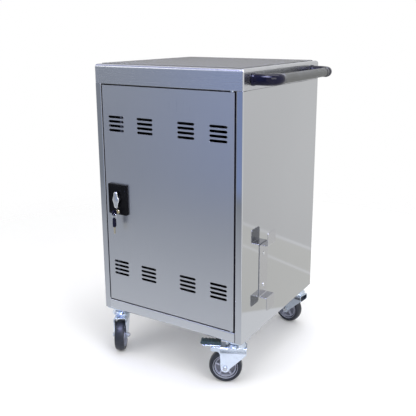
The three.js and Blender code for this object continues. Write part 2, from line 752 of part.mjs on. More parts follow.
const camY = halfD - JAMB_DEPTH - CAM_GAP;
const camOutline = roundedRectangle(CAM_WIDTH, CAM_LENGTH, CAM_WIDTH / 2 - SEAT, [
  rearLockX,
  rearLockZ - (CAM_LENGTH - CAM_WIDTH) / 2,
]);
const rearLock = addAll(
  bar(REAR_LOCK_FLANGE, 'y', halfD + SEAT, halfD + SEAT + REAR_LOCK_PROUD, rearLockCentre, 20),
  bar(REAR_LOCK_RADIUS, 'y', camY - CAM_THICKNESS, halfD + SEAT + SHEET, rearLockCentre),
  prism(camOutline, 'y', camY - CAM_THICKNESS, camY),
);
place('rear_cam_lock', rearLock, zinc);

// Shelf between the decks, with turned-down sides
const sideLine = insideReach - SHEET / 2;
const shelfLine = SHELF_HEIGHT - SHEET / 2;
const shelfSection = foldedStrip([
  [-sideLine, shelfLine - SHELF_FLANGE],
  [-sideLine, shelfLine],
  [sideLine, shelfLine],
  [sideLine, shelfLine - SHELF_FLANGE],
]);
const bayFront = -halfD + SHELF_SETBACK;
const bayBack = partitionY - SHEET / 2 - SEAT;
place('mid_shelf', prism(shelfSection, 'y', bayFront, bayBack), steel);

// Partition between the laptop bay and the power bay, with ports for the charging leads
const partitionSection = foldedStrip([
  [-sideLine, partitionY + PARTITION_FLANGE],
  [-sideLine, partitionY],
  [sideLine, partitionY],
  [sideLine, partitionY + PARTITION_FLANGE],
]);
const partitionBottom = floorZ + SHEET + SEAT;
const partitionTop = panelTop - PARTITION_TOP_GAP;
const cablePorts = [-1, 1].flatMap((side) => [SHELF_HEIGHT, partitionTop].map((deckTop) => {
  const centre = [side * CABLE_PORT_SPREAD / 2, deckTop - CABLE_PORT_DROP];
  const port = roundedRectangle(CABLE_PORT_WIDTH, CABLE_PORT_HEIGHT, CABLE_PORT_HEIGHT / 2 - SEAT, centre);
  return prism(port, 'y', partitionY - SHEET - OVERCUT, partitionY + SHEET + OVERCUT, 2);
}));
const partition = prism(partitionSection, 'z', partitionBottom, partitionTop);
place('partition_panel', cutAll(partition, ...cablePorts), steel);

// Divider racks: a tray with a row of upright plates between the laptop slots, round at their front corner
const trayFront = bayFront + RACK_SETBACK;
const trayBack = bayBack - RACK_SETBACK;
const trayReach = insideReach - RACK_SIDE_GAP;
function dividerRack(level) {
  const tray = block([-trayReach, trayReach], [trayFront, trayBack], [level, level + RACK_TRAY]);
  const front = trayFront + DIVIDER_INSET;
  const back = trayBack - DIVIDER_INSET;
  const top = level + DIVIDER_HEIGHT;
  const outline = new THREE.Shape();
  outline.moveTo(front, level);
  outline.lineTo(back, level);
  outline.lineTo(back, top);
  outline.absarc(front + DIVIDER_CORNER, top - DIVIDER_CORNER, DIVIDER_CORNER, Math.PI / 2, Math.PI);
  outline.closePath();
  const pitch = 2 * trayReach / RACK_SLOTS;
  const dividers = Array.from({ length: RACK_SLOTS - 1 }, (_, i) => {
    const x = (i + 1) * pitch - trayReach;
    return prism(outline, 'x', x - DIVIDER_THICKNESS / 2, x + DIVIDER_THICKNESS / 2);
  });
  return addAll(tray, ...dividers);
}
place('upper_divider_rack', dividerRack(SHELF_HEIGHT + SEAT), gripPlastic);
place('lower_divider_rack', dividerRack(floorZ + SHEET + SEAT), gripPlastic);

// Socket strips on the back of the partition
function powerStrip(side) {
  const x = side * STRIP_SPREAD / 2;
  const back = partitionY + SHEET / 2 + SEAT;
  const base = floorZ + STRIP_RISE;
  const section = roundedRectangle(STRIP_WIDTH, STRIP_DEPTH, STRIP_CORNER, [x, back + STRIP_DEPTH / 2]);
  const face = back + STRIP_DEPTH;
  const pitch = STRIP_LENGTH / STRIP_SOCKETS;
  const sockets = Array.from({ length: STRIP_SOCKETS }, (_, i) => {
    const z = base + (i + 0.5) * pitch;
    return block(
      [x - SOCKET_SIZE / 2, x + SOCKET_SIZE / 2],
      [face - SOCKET_DEPTH, face + OVERCUT],
      [z - SOCKET_SIZE / 2, z + SOCKET_SIZE / 2],
    );
  });
  return cutAll(prism(section, 'z', base, base + STRIP_LENGTH), ...sockets);
}
place('power_strip_left', powerStrip(-1), blackPlastic);
place('power_strip_right', powerStrip(1), blackPlastic);

// Mains inlet through the left panel: a flanged socket with three blades at the bottom of its recess
const inletFace = -halfW - SEAT - INLET_FLANGE_THICKNESS;
function inlet() {
  const grow = INLET_FLANGE * 2;
  const flange = roundedRectangle(INLET_WIDTH + grow, INLET_HEIGHT + grow, INLET_FLANGE, [inletY, inletZ]);
  const body = block(
    [inletFace, -halfW + INLET_DEPTH],
    [inletY - INLET_WIDTH / 2, inletY + INLET_WIDTH / 2],
    [inletZ - INLET_HEIGHT / 2, inletZ + INLET_HEIGHT / 2],
  );
  const recess = block(
    [inletFace - OVERCUT, inletFace + INLET_RECESS],
    [inletY - INLET_WIDTH / 2 + INLET_WALL, inletY + INLET_WIDTH / 2 - INLET_WALL],
    [inletZ - INLET_HEIGHT / 2 + INLET_WALL, inletZ + INLET_HEIGHT / 2 - INLET_WALL],
  );
  const floorX = inletFace + INLET_RECESS;
  const blades = [[-1, -1], [0, 1], [1, -1]].map(([across, up]) => {
    const y = inletY + across * INLET_BLADE_SPREAD;
    const z = inletZ + up * INLET_BLADE_OFFSET;
    return block(
      [floorX - INLET_BLADE_LENGTH, floorX + SHEET],
      [y - INLET_BLADE_THICKNESS / 2, y + INLET_BLADE_THICKNESS / 2],
      [z - INLET_BLADE_HEIGHT / 2, z + INLET_BLADE_HEIGHT / 2],
    );
  });
  const shell = prism(flange, 'x', inletFace, inletFace + INLET_FLANGE_THICKNESS).add(body).subtract(recess);
  return addAll(shell, ...blades);
}
place('power_inlet', inlet(), blackPlastic);

// Push handle: a bar between two elbows on the cover's right skirt, with a grooved collar at each joint
const handleZ = coverTop - HANDLE_DROP;
const handleX = halfW + HANDLE_STANDOFF;
const handleEnd = halfD - HANDLE_INSET;
const elbowEnd = handleEnd - ELBOW_BEND - ELBOW_TAIL;
function elbow(end) {
  const root = end * handleEnd;
  const centre = new THREE.Vector2(handleX - ELBOW_BEND, root - end * ELBOW_BEND);
  const path = new THREE.CurvePath();
  path.add(new THREE.LineCurve3(
    new THREE.Vector3(halfW + SEAT, root, handleZ),
    new THREE.Vector3(centre.x, root, handleZ),
  ));
  const arcPoints = Array.from({ length: ELBOW_STEPS + 1 }, (_, i) => {
    const angle = (Math.PI / 2) * i / ELBOW_STEPS;
    const x = centre.x + ELBOW_BEND * Math.sin(angle);
    return new THREE.Vector3(x, centre.y + end * ELBOW_BEND * Math.cos(angle), handleZ);
  });
  arcPoints.slice(1).forEach((point, i) => path.add(new THREE.LineCurve3(arcPoints[i], point)));
  path.add(new THREE.LineCurve3(arcPoints.at(-1), new THREE.Vector3(handleX, end * elbowEnd, handleZ)));
  return sweep(path, ELBOW_RADIUS, 2 * ELBOW_STEPS);
}
const collarFrom = elbowEnd - SEAT;
const collarTo = collarFrom - COLLAR_LENGTH;
function collar(end) {
  const ridge = COLLAR_LENGTH / (2 * COLLAR_GROOVES + 1);
  const along = (a, b) => [end * a, end * b].sort((p, q) => p - q);
  const core = bar(COLLAR_RADIUS - COLLAR_GROOVE, 'y', ...along(collarFrom, collarTo), [handleX, handleZ]);
  const ridges = Array.from({ length: COLLAR_GROOVES + 1 }, (_, i) => {
    const near = collarFrom - 2 * i * ridge;
    return bar(COLLAR_RADIUS, 'y', ...along(near, near - ridge), [handleX, handleZ]);
  });
  return addAll(core, ...ridges);
}
const barHalf = collarTo - SEAT;
place('handle_elbow_front', elbow(-1), blackPlastic);
place('handle_elbow_rear', elbow(1), blackPlastic);
place('handle_collar_front', collar(-1), blackPlastic);
place('handle_collar_rear', collar(1), blackPlastic);
place('handle_bar', bar(BAR_RADIUS, 'y', -barHalf, barHalf, [handleX, handleZ], 16), gripPlastic);

// Cord cleat: one strip folded into two shelves with lips, round at its corners
const cleatY = -halfD + CLEAT_FROM_FRONT;
const cleatLow = floorZ + CLEAT_RISE - CLEAT_LENGTH / 2;
const cleatHigh = cleatLow + CLEAT_LENGTH;
const cleatWeb = halfW + SEAT + CLEAT_THICKNESS / 2;
const cleatLip = halfW + CLEAT_STAND;
const cleatSection = foldedStrip([
  [cleatLip, cleatLow - CLEAT_LIP],
  [cleatLip, cleatLow],
  [cleatWeb, cleatLow],
  [cleatWeb, cleatHigh],
  [cleatLip, cleatHigh],
  [cleatLip, cleatHigh + CLEAT_LIP],
], CLEAT_THICKNESS);
const cleatFace = roundedRectangle(
  CLEAT_WIDTH,
  CLEAT_LENGTH + 2 * CLEAT_LIP,
  CLEAT_CORNER,
  [cleatY, (cleatLow + cleatHigh) / 2],
);
const cleatStrip = prism(cleatSection, 'y', cleatY - CLEAT_WIDTH / 2, cleatY + CLEAT_WIDTH / 2);
place('cord_cleat', cleatStrip.intersect(prism(cleatFace, 'x', halfW, cleatLip + CLEAT_THICKNESS)), steel);

// Caster levels, measured down from the underside of the cabinet
const plateLow = -SEAT - PLATE_THICKNESS;
const raceLow = plateLow - RACE_HEIGHT;
const domeTop = raceLow - RUNNING;
const crownTop = domeTop - DOME_HEIGHT;
const crownLow = crownTop - FORK_SHEET;
const axleZ = wheelCentre - CASTER_HEIGHT;
const forkInside = TYRE_WIDTH / 2 + FORK_CLEARANCE;
const forkOutside = forkInside + FORK_SHEET;
const earEnd = TRAIL + FORK_FRONT + EAR_REACH;
const pedalPivot = [earEnd - EAR_DEPTH / 2, crownTop - EAR_DEPTH / 2];
const origin = [0, 0];

// Top plate with the upper bearing race and the kingpin that holds the fork
function casterPlate() {
  const outline = roundedRectangle(PLATE_SIZE, PLATE_SIZE, PLATE_CORNER);
  const reach = PLATE_BOLT_SPACING / 2;
  const holes = [[-1, -1], [-1, 1], [1, -1], [1, 1]].map(([i, j]) => (
    bar(PLATE_BOLT_RADIUS, 'z', plateLow - OVERCUT, OVERCUT, [i * reach, j * reach], 6)
  ));
  const headTop = crownLow - RUNNING;
  return addAll(
    cutAll(prism(outline, 'z', plateLow, -SEAT), ...holes),
    bar(RACE_RADIUS, 'z', raceLow, plateLow + SEAT, origin, 16),
    bar(KINGPIN_RADIUS, 'z', headTop - KINGPIN_HEAD_HEIGHT, raceLow + SEAT, origin),
    bar(KINGPIN_HEAD, 'z', headTop - KINGPIN_HEAD_HEIGHT, headTop, origin, 6),
  );
}

// Fork: a domed crown with two tapering legs, and ears for the pedal on a braked caster
function forkLeg(side, brake) {
  const shape = new THREE.Shape();
  shape.moveTo(-FORK_BACK, crownTop);
  shape.lineTo(-FORK_BACK, crownLow - FORK_SHOULDER);
  shape.lineTo(TRAIL - FORK_LEG_END, axleZ);
  shape.absarc(TRAIL, axleZ, FORK_LEG_END, Math.PI, 2 * Math.PI);
  shape.lineTo(TRAIL + FORK_FRONT, crownTop - 2 * EAR_DEPTH);
  if (brake) {
    const fillet = [TRAIL + FORK_FRONT + EAR_DEPTH, crownTop - 2 * EAR_DEPTH];
    shape.absarc(...fillet, EAR_DEPTH, Math.PI, Math.PI / 2, true);
    shape.absarc(...pedalPivot, EAR_DEPTH / 2, -Math.PI / 2, Math.PI / 2);
  } else {
    shape.lineTo(TRAIL + FORK_FRONT, crownTop);
  }
  shape.closePath();
  const [y0, y1] = [side * forkInside, side * forkOutside].sort((a, b) => a - b);
  return prism(shape, 'y', y0, y1);
}

function fork(brake) {
  const crown = block([-FORK_BACK, TRAIL + FORK_FRONT], [-forkOutside, forkOutside], [crownLow, crownTop]);
  const body = addAll(
    crown,
    bar(DOME_RADIUS, 'z', crownTop - SEAT, domeTop, origin, 16),
    forkLeg(-1, brake),
    forkLeg(1, brake),
  );
  const across = [-forkOutside - OVERCUT, forkOutside + OVERCUT];
  const holes = [
    bar(KINGPIN_RADIUS + RUNNING, 'z', crownLow - OVERCUT, domeTop + OVERCUT, origin),
    bar(AXLE_RADIUS + SEAT, 'y', ...across, [TRAIL, axleZ]),
  ];
  if (brake) holes.push(bar(PEDAL_PIVOT_RADIUS + RUNNING, 'y', ...across, pedalPivot));
  return cutAll(body, ...holes);
}

// Axle bolt with its head and nut outside the fork
function axle() {
  const seat = forkOutside + SEAT;
  const end = seat + AXLE_HEAD_HEIGHT;
  return addAll(
    bar(AXLE_RADIUS, 'y', -end, end + AXLE_TAIL, [TRAIL, axleZ]),
    bar(AXLE_HEAD, 'y', -end, -seat, [TRAIL, axleZ], 6),
    bar(AXLE_HEAD, 'y', seat, end, [TRAIL, axleZ], 6),
  );
}

// Wheel: a spoked hub with a solid tyre, centred on its axle. A flat of the tyre stands on the floor.
function hub() {
  const half = TYRE_WIDTH / 2;
  const rimOut = WHEEL_RADIUS - TYRE_DEPTH;
  const rimIn = rimOut - HUB_RIM;
  const rimHalf = half - HUB_RIM_INSET;
  const boss = half + HUB_BOSS_PROUD;
  const rim = revolve([
    [rimIn, -rimHalf],
    [rimOut, -rimHalf],
    [rimOut, rimHalf],
    [rimIn, rimHalf],
  ], WHEEL_SIDES);
  const spokes = Array.from({ length: SPOKES }, (_, i) => {
    const spoke = new THREE.BoxGeometry(SPOKE_WIDTH, 2 * (half - SPOKE_INSET), rimIn);
    spoke.translate(0, 0, (rimIn + HUB_RIM) / 2);
    return solid(spoke.rotateY(2 * Math.PI * i / SPOKES));
  });
  const whole = addAll(
    rim,
    bar(rimIn + HUB_RIM / 2, 'y', -HUB_WEB / 2, HUB_WEB / 2, origin),
    bar(HUB_RADIUS, 'y', -boss, boss, origin),
    ...spokes,
  );
  return whole.subtract(bar(AXLE_RADIUS + RUNNING, 'y', -boss - OVERCUT, boss + OVERCUT, origin));
}

function tyre() {
  const half = TYRE_WIDTH / 2;
  const inner = WHEEL_RADIUS - TYRE_DEPTH + SEAT;
  const tread = half - TYRE_SHOULDER;
  return revolve([
    [inner, -half],
    [WHEEL_RADIUS - TYRE_CROWN, -half],
    [WHEEL_RADIUS - TYRE_CROWN / 4, -(half + tread) / 2],
    [WHEEL_RADIUS, -tread],
    [WHEEL_RADIUS, tread],
    [WHEEL_RADIUS - TYRE_CROWN / 4, (half + tread) / 2],
    [WHEEL_RADIUS - TYRE_CROWN, half],
    [inner, half],
  ], WHEEL_SIDES);
}

// Brake: a metal lever turning in the fork's ears, with a ribbed plastic tread on top
const leverTop = crownTop + PEDAL_LIFT;
const treadHeel = pedalPivot[0] - PEDAL_HEEL;
const treadToe = pedalPivot[0] + PEDAL_REACH;
function brakeLever() {
  const half = forkInside - FORK_CLEARANCE / 2;
  const lug = EAR_DEPTH / 2;
  const cheek = new THREE.Shape();
  cheek.absarc(...pedalPivot, lug, Math.PI, 2 * Math.PI);
  cheek.lineTo(pedalPivot[0] + lug, leverTop - LEVER_THICKNESS / 2);
  cheek.lineTo(pedalPivot[0] - lug, leverTop - LEVER_THICKNESS / 2);
  cheek.closePath();
  return addAll(
    block([treadHeel, treadToe - PEDAL_THICKNESS], [-half, half], [leverTop - LEVER_THICKNESS, leverTop]),
    prism(cheek, 'y', -half, half),
    bar(PEDAL_PIVOT_RADIUS, 'y', -forkOutside, forkOutside, pedalPivot),
  );
}
function brakePedal() {
  const low = leverTop + SEAT;
  const top = low + PEDAL_THICKNESS;
  const nose = PEDAL_THICKNESS / 2;
  const shape = new THREE.Shape();
  shape.moveTo(treadHeel, low);
  shape.lineTo(treadToe - nose, low);
  shape.absarc(treadToe - nose, low + nose, nose, -Math.PI / 2, Math.PI / 2);
  shape.lineTo(treadHeel + nose, top);
  shape.lineTo(treadHeel, low + nose);
  shape.closePath();
  const body = prism(shape, 'y', -PEDAL_WIDTH / 2, PEDAL_WIDTH / 2);
  const pitch = (treadToe - treadHeel - PEDAL_THICKNESS) / PEDAL_RIBS;
  const grooves = Array.from({ length: PEDAL_RIBS }, (_, i) => {
    const x = treadHeel + nose + (i + 0.25) * pitch;
    return block([x, x + pitch / 2], [-PEDAL_WIDTH, PEDAL_WIDTH], [top - PEDAL_RIB_DEPTH, top + OVERCUT]);
  });
  return cutAll(body, ...grooves);
}

CASTERS.forEach(({ name, x, y, trail, brake }) => {
  const mount = new THREE.Group();
  mount.position.set(x * (halfW - CASTER_INSET), y * (halfD - CASTER_INSET), floorZ);
  const swivel = new THREE.Group();
  swivel.rotation.z = THREE.MathUtils.degToRad(trail);
  mount.add(swivel);
  cart.add(mount);
  place(`${name}_caster_plate`, casterPlate(), zinc, mount);
  place(`${name}_fork`, fork(brake), zinc, swivel);
  place(`${name}_axle`, axle(), zinc, swivel);
  const wheel = new THREE.Group();
  wheel.position.set(TRAIL, 0, axleZ);
  swivel.add(wheel);
  place(`${name}_hub`, hub(), hubPlastic, wheel);
  place(`${name}_tyre`, tyre(), greyRubber, wheel);
  if (brake) {
    place(`${name}_brake_lever`, brakeLever(), zinc, swivel);
    place(`${name}_brake_pedal`, brakePedal(), pedalPlastic, swivel);
  }
});

// The origin is on the floor, under the middle of the whole outline
const outlineBox = new THREE.Box3().setFromObject(cart, true);
const middle = outlineBox.getCenter(new THREE.Vector3());
cart.position.set(-middle.x, -middle.y, -outlineBox.min.z);

export default cart;
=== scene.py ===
"""Looks of a laptop charging cart: sheet metal, lock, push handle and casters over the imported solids."""
import json
import math

import bmesh
import bpy
import numpy as np
from bpy.props import FloatProperty, FloatVectorProperty, IntProperty, PointerProperty
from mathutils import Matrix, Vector

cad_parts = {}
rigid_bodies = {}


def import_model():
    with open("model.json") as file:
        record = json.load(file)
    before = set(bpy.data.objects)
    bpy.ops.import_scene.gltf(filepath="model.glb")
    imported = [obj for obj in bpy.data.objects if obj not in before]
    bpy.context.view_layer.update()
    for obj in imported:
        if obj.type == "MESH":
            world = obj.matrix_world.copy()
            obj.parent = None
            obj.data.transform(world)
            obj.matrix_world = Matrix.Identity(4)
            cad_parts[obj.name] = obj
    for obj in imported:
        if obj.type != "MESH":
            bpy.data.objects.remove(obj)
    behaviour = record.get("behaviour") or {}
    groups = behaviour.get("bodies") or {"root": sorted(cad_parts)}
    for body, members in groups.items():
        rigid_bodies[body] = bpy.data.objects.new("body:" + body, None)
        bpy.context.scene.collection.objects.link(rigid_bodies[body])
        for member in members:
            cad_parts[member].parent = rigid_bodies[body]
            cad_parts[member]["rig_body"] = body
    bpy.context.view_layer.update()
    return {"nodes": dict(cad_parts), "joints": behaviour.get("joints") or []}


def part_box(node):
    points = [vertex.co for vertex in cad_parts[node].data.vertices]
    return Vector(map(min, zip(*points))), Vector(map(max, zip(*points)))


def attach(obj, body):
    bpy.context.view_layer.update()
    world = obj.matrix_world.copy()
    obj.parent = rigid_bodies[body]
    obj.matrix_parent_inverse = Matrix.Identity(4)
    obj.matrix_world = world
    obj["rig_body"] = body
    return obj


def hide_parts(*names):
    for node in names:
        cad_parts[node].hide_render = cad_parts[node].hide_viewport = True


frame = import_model()

bl_info = {
    "name": "Laptop Charging Cart",
    "version": (1, 0, 0),
    "blender": (4, 5, 0),
    "location": "View3D > Sidebar > Cart",
    "description": "Dresses the packed charging cart: sheet metal, lock, handle, casters and studio",
    "category": "Object",
}

MM = 0.001
JOINTS = {joint["name"]: joint for joint in frame["joints"]}
CASTERS = ("front_left", "front_right", "rear_left", "rear_right")

# Width of the frame in pixels, and of the camera's sensor in millimetres
PIXELS, SENSOR = 416, 36.0

# Faces that meet at fewer degrees than the first shade as one, and edges past the second are rounded
SMOOTH, SHARP = 35, 38

# How far the lock plate's face lies below its frame, in millimetres
SUNK = 1.8

# How far the mirrored wall and the joint before it run back for each metre to the right
ASKEW = 0.39

# Axes that carry a surface's own Z along X, along Y, and forward out of the door, with its own Y upright
UP = (0, 0, 1)
ALONG_X = ((0, 1, 0), UP, (1, 0, 0))
ALONG_Y = ((-1, 0, 0), UP, (0, 1, 0))
FORWARD = ((1, 0, 0), UP, (0, -1, 0))

# Lamps: name, property of the power, width, place, and the point that each looks at
LAMPS = (
    ("Key lamp", "key_power", 1.6, (2.6, -1.2, 2.3), (0.2, 0.0, 0.5)),
    ("Fill lamp", "fill_power", 2.0, (-1.6, -2.6, 1.9), (0.0, -0.2, 0.5)),
    ("Top lamp", "top_power", 1.8, (0.3, 0.6, 3.0), (0.0, 0.0, 0.9)),
    ("Spark lamp", "spark_power", 0.42, (0.22, -0.3, 2.7), (0.25, -0.18, 0.94)),
)

# Shader node groups and materials by a short name, filled by make_looks
GROUPS = {}
LOOKS = {}


def colour(name, text, default):
    """A linear colour that a user may change."""
    return FloatVectorProperty(name=name, description=text, default=default, size=3, subtype="COLOR",
                               min=0, max=1)


def length(name, text, default):
    """A length in metres that a user may change."""
    return FloatProperty(name=name, description=text, default=default, min=0, subtype="DISTANCE",
                         unit="LENGTH")


def tilt(name, text, degrees):
    """An angle that a user may change."""
    return FloatProperty(name=name, description=text, default=math.radians(degrees), subtype="ANGLE")


def watts(name, text, default):
    """A lamp's power that a user may change."""
    return FloatProperty(name=name, description=text, default=default, min=0, unit="POWER")


class CartFinish(bpy.types.PropertyGroup):
    """Colours of the cart's finishes."""
    steel: colour("Stainless", "Sheet of the cabinet and the doors", (0.50, 0.51, 0.53))
    # A faintly bluer copy of the stainless: painted shade for the navy shade along the cleat
    strip: colour("Cleat steel, painted shade tint", "Bare strip that the cord cleat is bent from", (0.51, 0.515, 0.545))
    zinc: colour("Zinc plate", "Casters, brake levers, hinge pins and pinion", (0.64, 0.71, 0.82))
    chrome: colour("Lock chrome", "Turn grip, key ring, cam lock and screws", (0.68, 0.69, 0.70))
    brass: colour("Brass", "Key blades, key cylinder and inlet blades", (0.66, 0.60, 0.44))
    rod: colour("Dark steel", "Lock rods and their guides", (0.10, 0.105, 0.13))
    bolt: colour("Bolt zinc", "Caster bolts and axles", (0.52, 0.54, 0.58))
    collar: colour("Collar", "Grooved collars of the push handle", (0.085, 0.087, 0.092))
    insert: colour("Insert", "Faces of the sockets", (0.055, 0.056, 0.06))
    gloss_black: colour("Gloss black", "Elbows and key heads", (0.003, 0.003, 0.018))
    plate_black: colour("Plate black", "Lock plate", (0.0025, 0.0025, 0.004))
    grip: colour("Grip grey", "Sleeve of the push bar", (0.085, 0.088, 0.088))
    mat: colour("Mat grey", "Ribbed mat on the top", (0.146, 0.147, 0.145))
    tyre: colour("Tyre", "Rubber of the wheels", (0.018, 0.021, 0.031))
    hub: colour("Hub", "Moulded wheel centres", (0.40, 0.42, 0.53))
    pedal: colour("Pedal", "Moulded brake treads", (0.012, 0.035, 0.045))
    # Painted shade: dark strips on the posts inside the door gaps, standing in for the gaps' shade
    gap_shade: colour("Lining", "Rubber strips beside the doors", (0.006, 0.006, 0.020))
    rack: colour("Rack", "Laptop dividers", (0.09, 0.092, 0.096))
    socket: colour("Socket", "Socket strips, inlet and keyways", (0.016, 0.016, 0.018))


class CartDetail(bpy.types.PropertyGroup):
    """Sizes of the small details."""
    edge: length("Sheet edge", "Rounding of cut sheet edges", 0.0005)
    fold: length("Door fold", "Rounding of the doors' folded edges", 0.0007)
    screw: length("Screw radius", "Button heads on the cleat", 0.0048)
    bolt: length("Bolt radius", "Hexagon heads under the caster plates", 0.0062)
    rib: length("Mat rib", "Distance between two ribs of the mat", 0.0042)
    facets: IntProperty(name="Facets", description="Facets round a wheel", default=96, min=24, max=256)


class CartStage(bpy.types.PropertyGroup):
    """Camera, floor, lamps and the room that the steel mirrors."""
    eye: FloatVectorProperty(name="Eye", description="Place of the camera", size=3, subtype="TRANSLATION",
                             default=(1.0261, -1.7235, 1.0764), unit="LENGTH")
    focal: FloatProperty(name="Focal length", description="In frame widths", default=613.1 / PIXELS, min=0.1)
    pitch: tilt("Pitch", "Downward tilt", 13.857)
    yaw: tilt("Yaw", "Turn to the left", 30.749)
    shift_x: FloatProperty(name="Shift across", description="Sideways frame shift", default=-11 / PIXELS)
    shift_y: FloatProperty(name="Shift up", description="Upward frame shift", default=-28 / PIXELS)
    key_power: watts("Key lamp", "Large lamp at the right", 38)
    fill_power: watts("Fill lamp", "Large lamp in front", 24)
    top_power: watts("Top lamp", "Lamp overhead", 24)
    spark_power: watts("Spark lamp", "Small lamp overhead that glints on gloss", 5)
    panel: FloatProperty(name="Lamp panel", description="Strength of the soft panel that gloss mirrors",
                         default=45, min=0)
    sky: FloatProperty(name="Room light", description="Even light of the room", default=0.8, min=0)
    floor: colour("Floor", "Pale sweep under the cart", (0.93, 0.93, 0.94))
    near: length("Sweep", "Radius of the floor that is opaque", 0.9)
    rim: length("Rim", "Radius where the floor has faded out", 2.2)
    room: colour("Dim room", "What the front of the cabinet mirrors", (0.325, 0.352, 0.402))
    ground: colour("Dim floor", "What the foot of the front mirrors", (0.76, 0.79, 0.85))
    wall: colour("Pale wall", "What the upper side panel mirrors", (0.868, 0.868, 0.863))
    tile: colour("Pale floor", "What the lower side panel mirrors", (0.785, 0.782, 0.75))
    cool: colour("Near floor", "What the foot of the side panel mirrors", (0.96, 0.975, 1.0))
    ceiling: colour("Ceiling", "What the rounded top edge and the elbows mirror", (0.46, 0.48, 0.76))
    window: colour("Cool room", "What the right of the front mirrors", (0.35, 0.45, 0.77))


def finish():
    """Colours in use."""
    return bpy.context.scene.cart_finish


def detail():
    """Sizes in use."""
    return bpy.context.scene.cart_detail


def stage():
    """Stage in use."""
    return bpy.context.scene.cart_stage


# Surfaces, as arrays of points and faces

def mm(points):
    """Points given in millimetres, in metres."""
    return np.asarray(points, float) * MM


def box(name):
    """The lowest and the highest corner of a solid, as arrays."""
    low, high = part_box(name)
    return np.array(low), np.array(high)


def level(outline, height):
    """A flat outline at a height."""
    return np.column_stack([outline, np.full(len(outline), height)])


def grid(points, close_u=False, close_v=False):
    """A surface through a (rows, columns, 3) grid of points, with four-cornered faces between neighbours."""
    rows, columns = points.shape[:2]
    u = np.arange(rows if close_u else rows - 1)
    v = np.arange(columns if close_v else columns - 1)
    i, j = np.meshgrid(u, v, indexing="ij")
    i2, j2 = (i + 1) % rows, (j + 1) % columns
    corners = (i * columns + j, i * columns + j2, i2 * columns + j2, i2 * columns + j)
    return points.reshape(-1, 3), np.stack(corners, -1).reshape(-1, 4).tolist()


def capped(rings):
    """A closed solid through rings of points, with a flat cap on the first and on the last ring."""
    points, faces = grid(rings, close_v=True)
    n = rings.shape[1]
    last = len(points) - n
    return points, faces + [list(range(n))[::-1], list(range(last, last + n))]


def join(*parts):
    """Several surfaces as one."""
    starts = np.cumsum([0] + [len(points) for points, _ in parts[:-1]])
    faces = [[start + k for k in face] for start, (_, some) in zip(starts.tolist(), parts) for face in some]
    return np.concatenate([points for points, _ in parts]), faces


def put(part, origin, x=(1, 0, 0), y=(0, 1, 0), z=UP):
    """A surface moved from its own axes to the given origin and axes."""
    points, faces = part
    return np.asarray(origin, float) + points @ np.array([x, y, z], float), faces


def circle(radius, sides=48, centre=(0, 0)):
    """A circle as an outline."""
    angle = np.linspace(0, 2 * np.pi, sides, endpoint=False)
    return np.asarray(centre) + radius * np.stack([np.cos(angle), np.sin(angle)], -1)


def arc(centre, radius, first, last, steps):
    """Points along part of a circle, between two angles in degrees."""
    angle = np.radians(np.linspace(first, last, steps))
    return np.asarray(centre) + radius * np.stack([np.cos(angle), np.sin(angle)], -1)


def fillet(corners, radii, steps=8):
    """An outline with a round corner at each point: arcs that touch both sides, joined by straight runs."""
    corners = np.asarray(corners, float)
    radii = np.broadcast_to(np.asarray(radii, float), len(corners))
    back = np.roll(corners, 1, 0) - corners
    on = np.roll(corners, -1, 0) - corners
    back /= np.linalg.norm(back, axis=1, keepdims=True)
    on /= np.linalg.norm(on, axis=1, keepdims=True)
    half = np.arccos(np.clip((back * on).sum(1), -1, 1)) / 2
    reach = radii / np.tan(half)
    t = np.linspace(0, 1, steps)[None, :, None]
    first = (corners + back * reach[:, None])[:, None]
    last = (corners + on * reach[:, None])[:, None]
    middle = (corners + (back + on) / np.linalg.norm(back + on, axis=1, keepdims=True)
              * (radii * (1 / np.sin(half) - 1))[:, None])[:, None]
    weight = middle - (first + last) / 4 - corners[:, None] / 2
    curve = (1 - t) ** 2 * first + 2 * t * (1 - t) * corners[:, None] + t ** 2 * last
    return (curve + 4 * t * (1 - t) * weight).reshape(-1, 2)


def oblong(w, h, radius, steps=8):
    """A rectangle with round corners as an outline, from half its width and half its height."""
    return fillet([(w, h), (-w, h), (-w, -h), (w, -h)], radius, steps)


def lathe(profile, sides=64):
    """A closed solid of revolution about its own Z: each (radius, height) of the profile goes a full turn."""
    r, h = np.asarray(profile, float).T[:, :, None, None]
    points = np.concatenate([r * circle(1.0, sides), np.broadcast_to(h, (len(h), sides, 1))], -1)
    return grid(points, close_v=True)


def tube(path, radius, sides=32):
    """A round tube: a circle of the given radius at each point of the path, square to the path."""
    path = np.asarray(path, float)
    along = np.gradient(path, axis=0)
    along /= np.linalg.norm(along, axis=1, keepdims=True)
    plane = np.cross(path[0] - path.mean(0), path[-1] - path.mean(0))
    side = np.cross(along, plane / np.linalg.norm(plane))
    side /= np.linalg.norm(side, axis=1, keepdims=True)
    angle = np.linspace(0, 2 * np.pi, sides, endpoint=False)[None, :, None]
    spoke = np.cos(angle) * side[:, None] + np.sin(angle) * np.cross(side, along)[:, None]
    return capped(path[:, None] + radius[:, None, None] * spoke)


def plate(outline, low, high, edge):
    """A flat plate with rounded rims: the outline is drawn in by a quarter circle at both faces."""
    outline = np.asarray(outline, float)
    after = np.roll(outline, -1, 0)
    if np.sum(outline[:, 0] * after[:, 1] - outline[:, 1] * after[:, 0]) < 0:
        outline = outline[::-1]
    run = np.roll(outline, -1, 0) - np.roll(outline, 1, 0)
    run /= np.maximum(np.linalg.norm(run, axis=1, keepdims=True), 1e-12)
    inward = np.stack([-run[:, 1], run[:, 0]], -1)
    turn = np.linspace(0, np.pi / 2, 4)
    inset = np.concatenate([edge * (1 - np.sin(turn)), edge * (1 - np.cos(turn))])
    height = np.concatenate([low + edge * (1 - np.cos(turn)), high - edge * (1 - np.sin(turn))])
    rings = outline[None] + inset[:, None, None] * inward[None]
    return capped(np.concatenate([rings, np.broadcast_to(height[:, None, None], rings.shape[:2] + (1,))], -1))


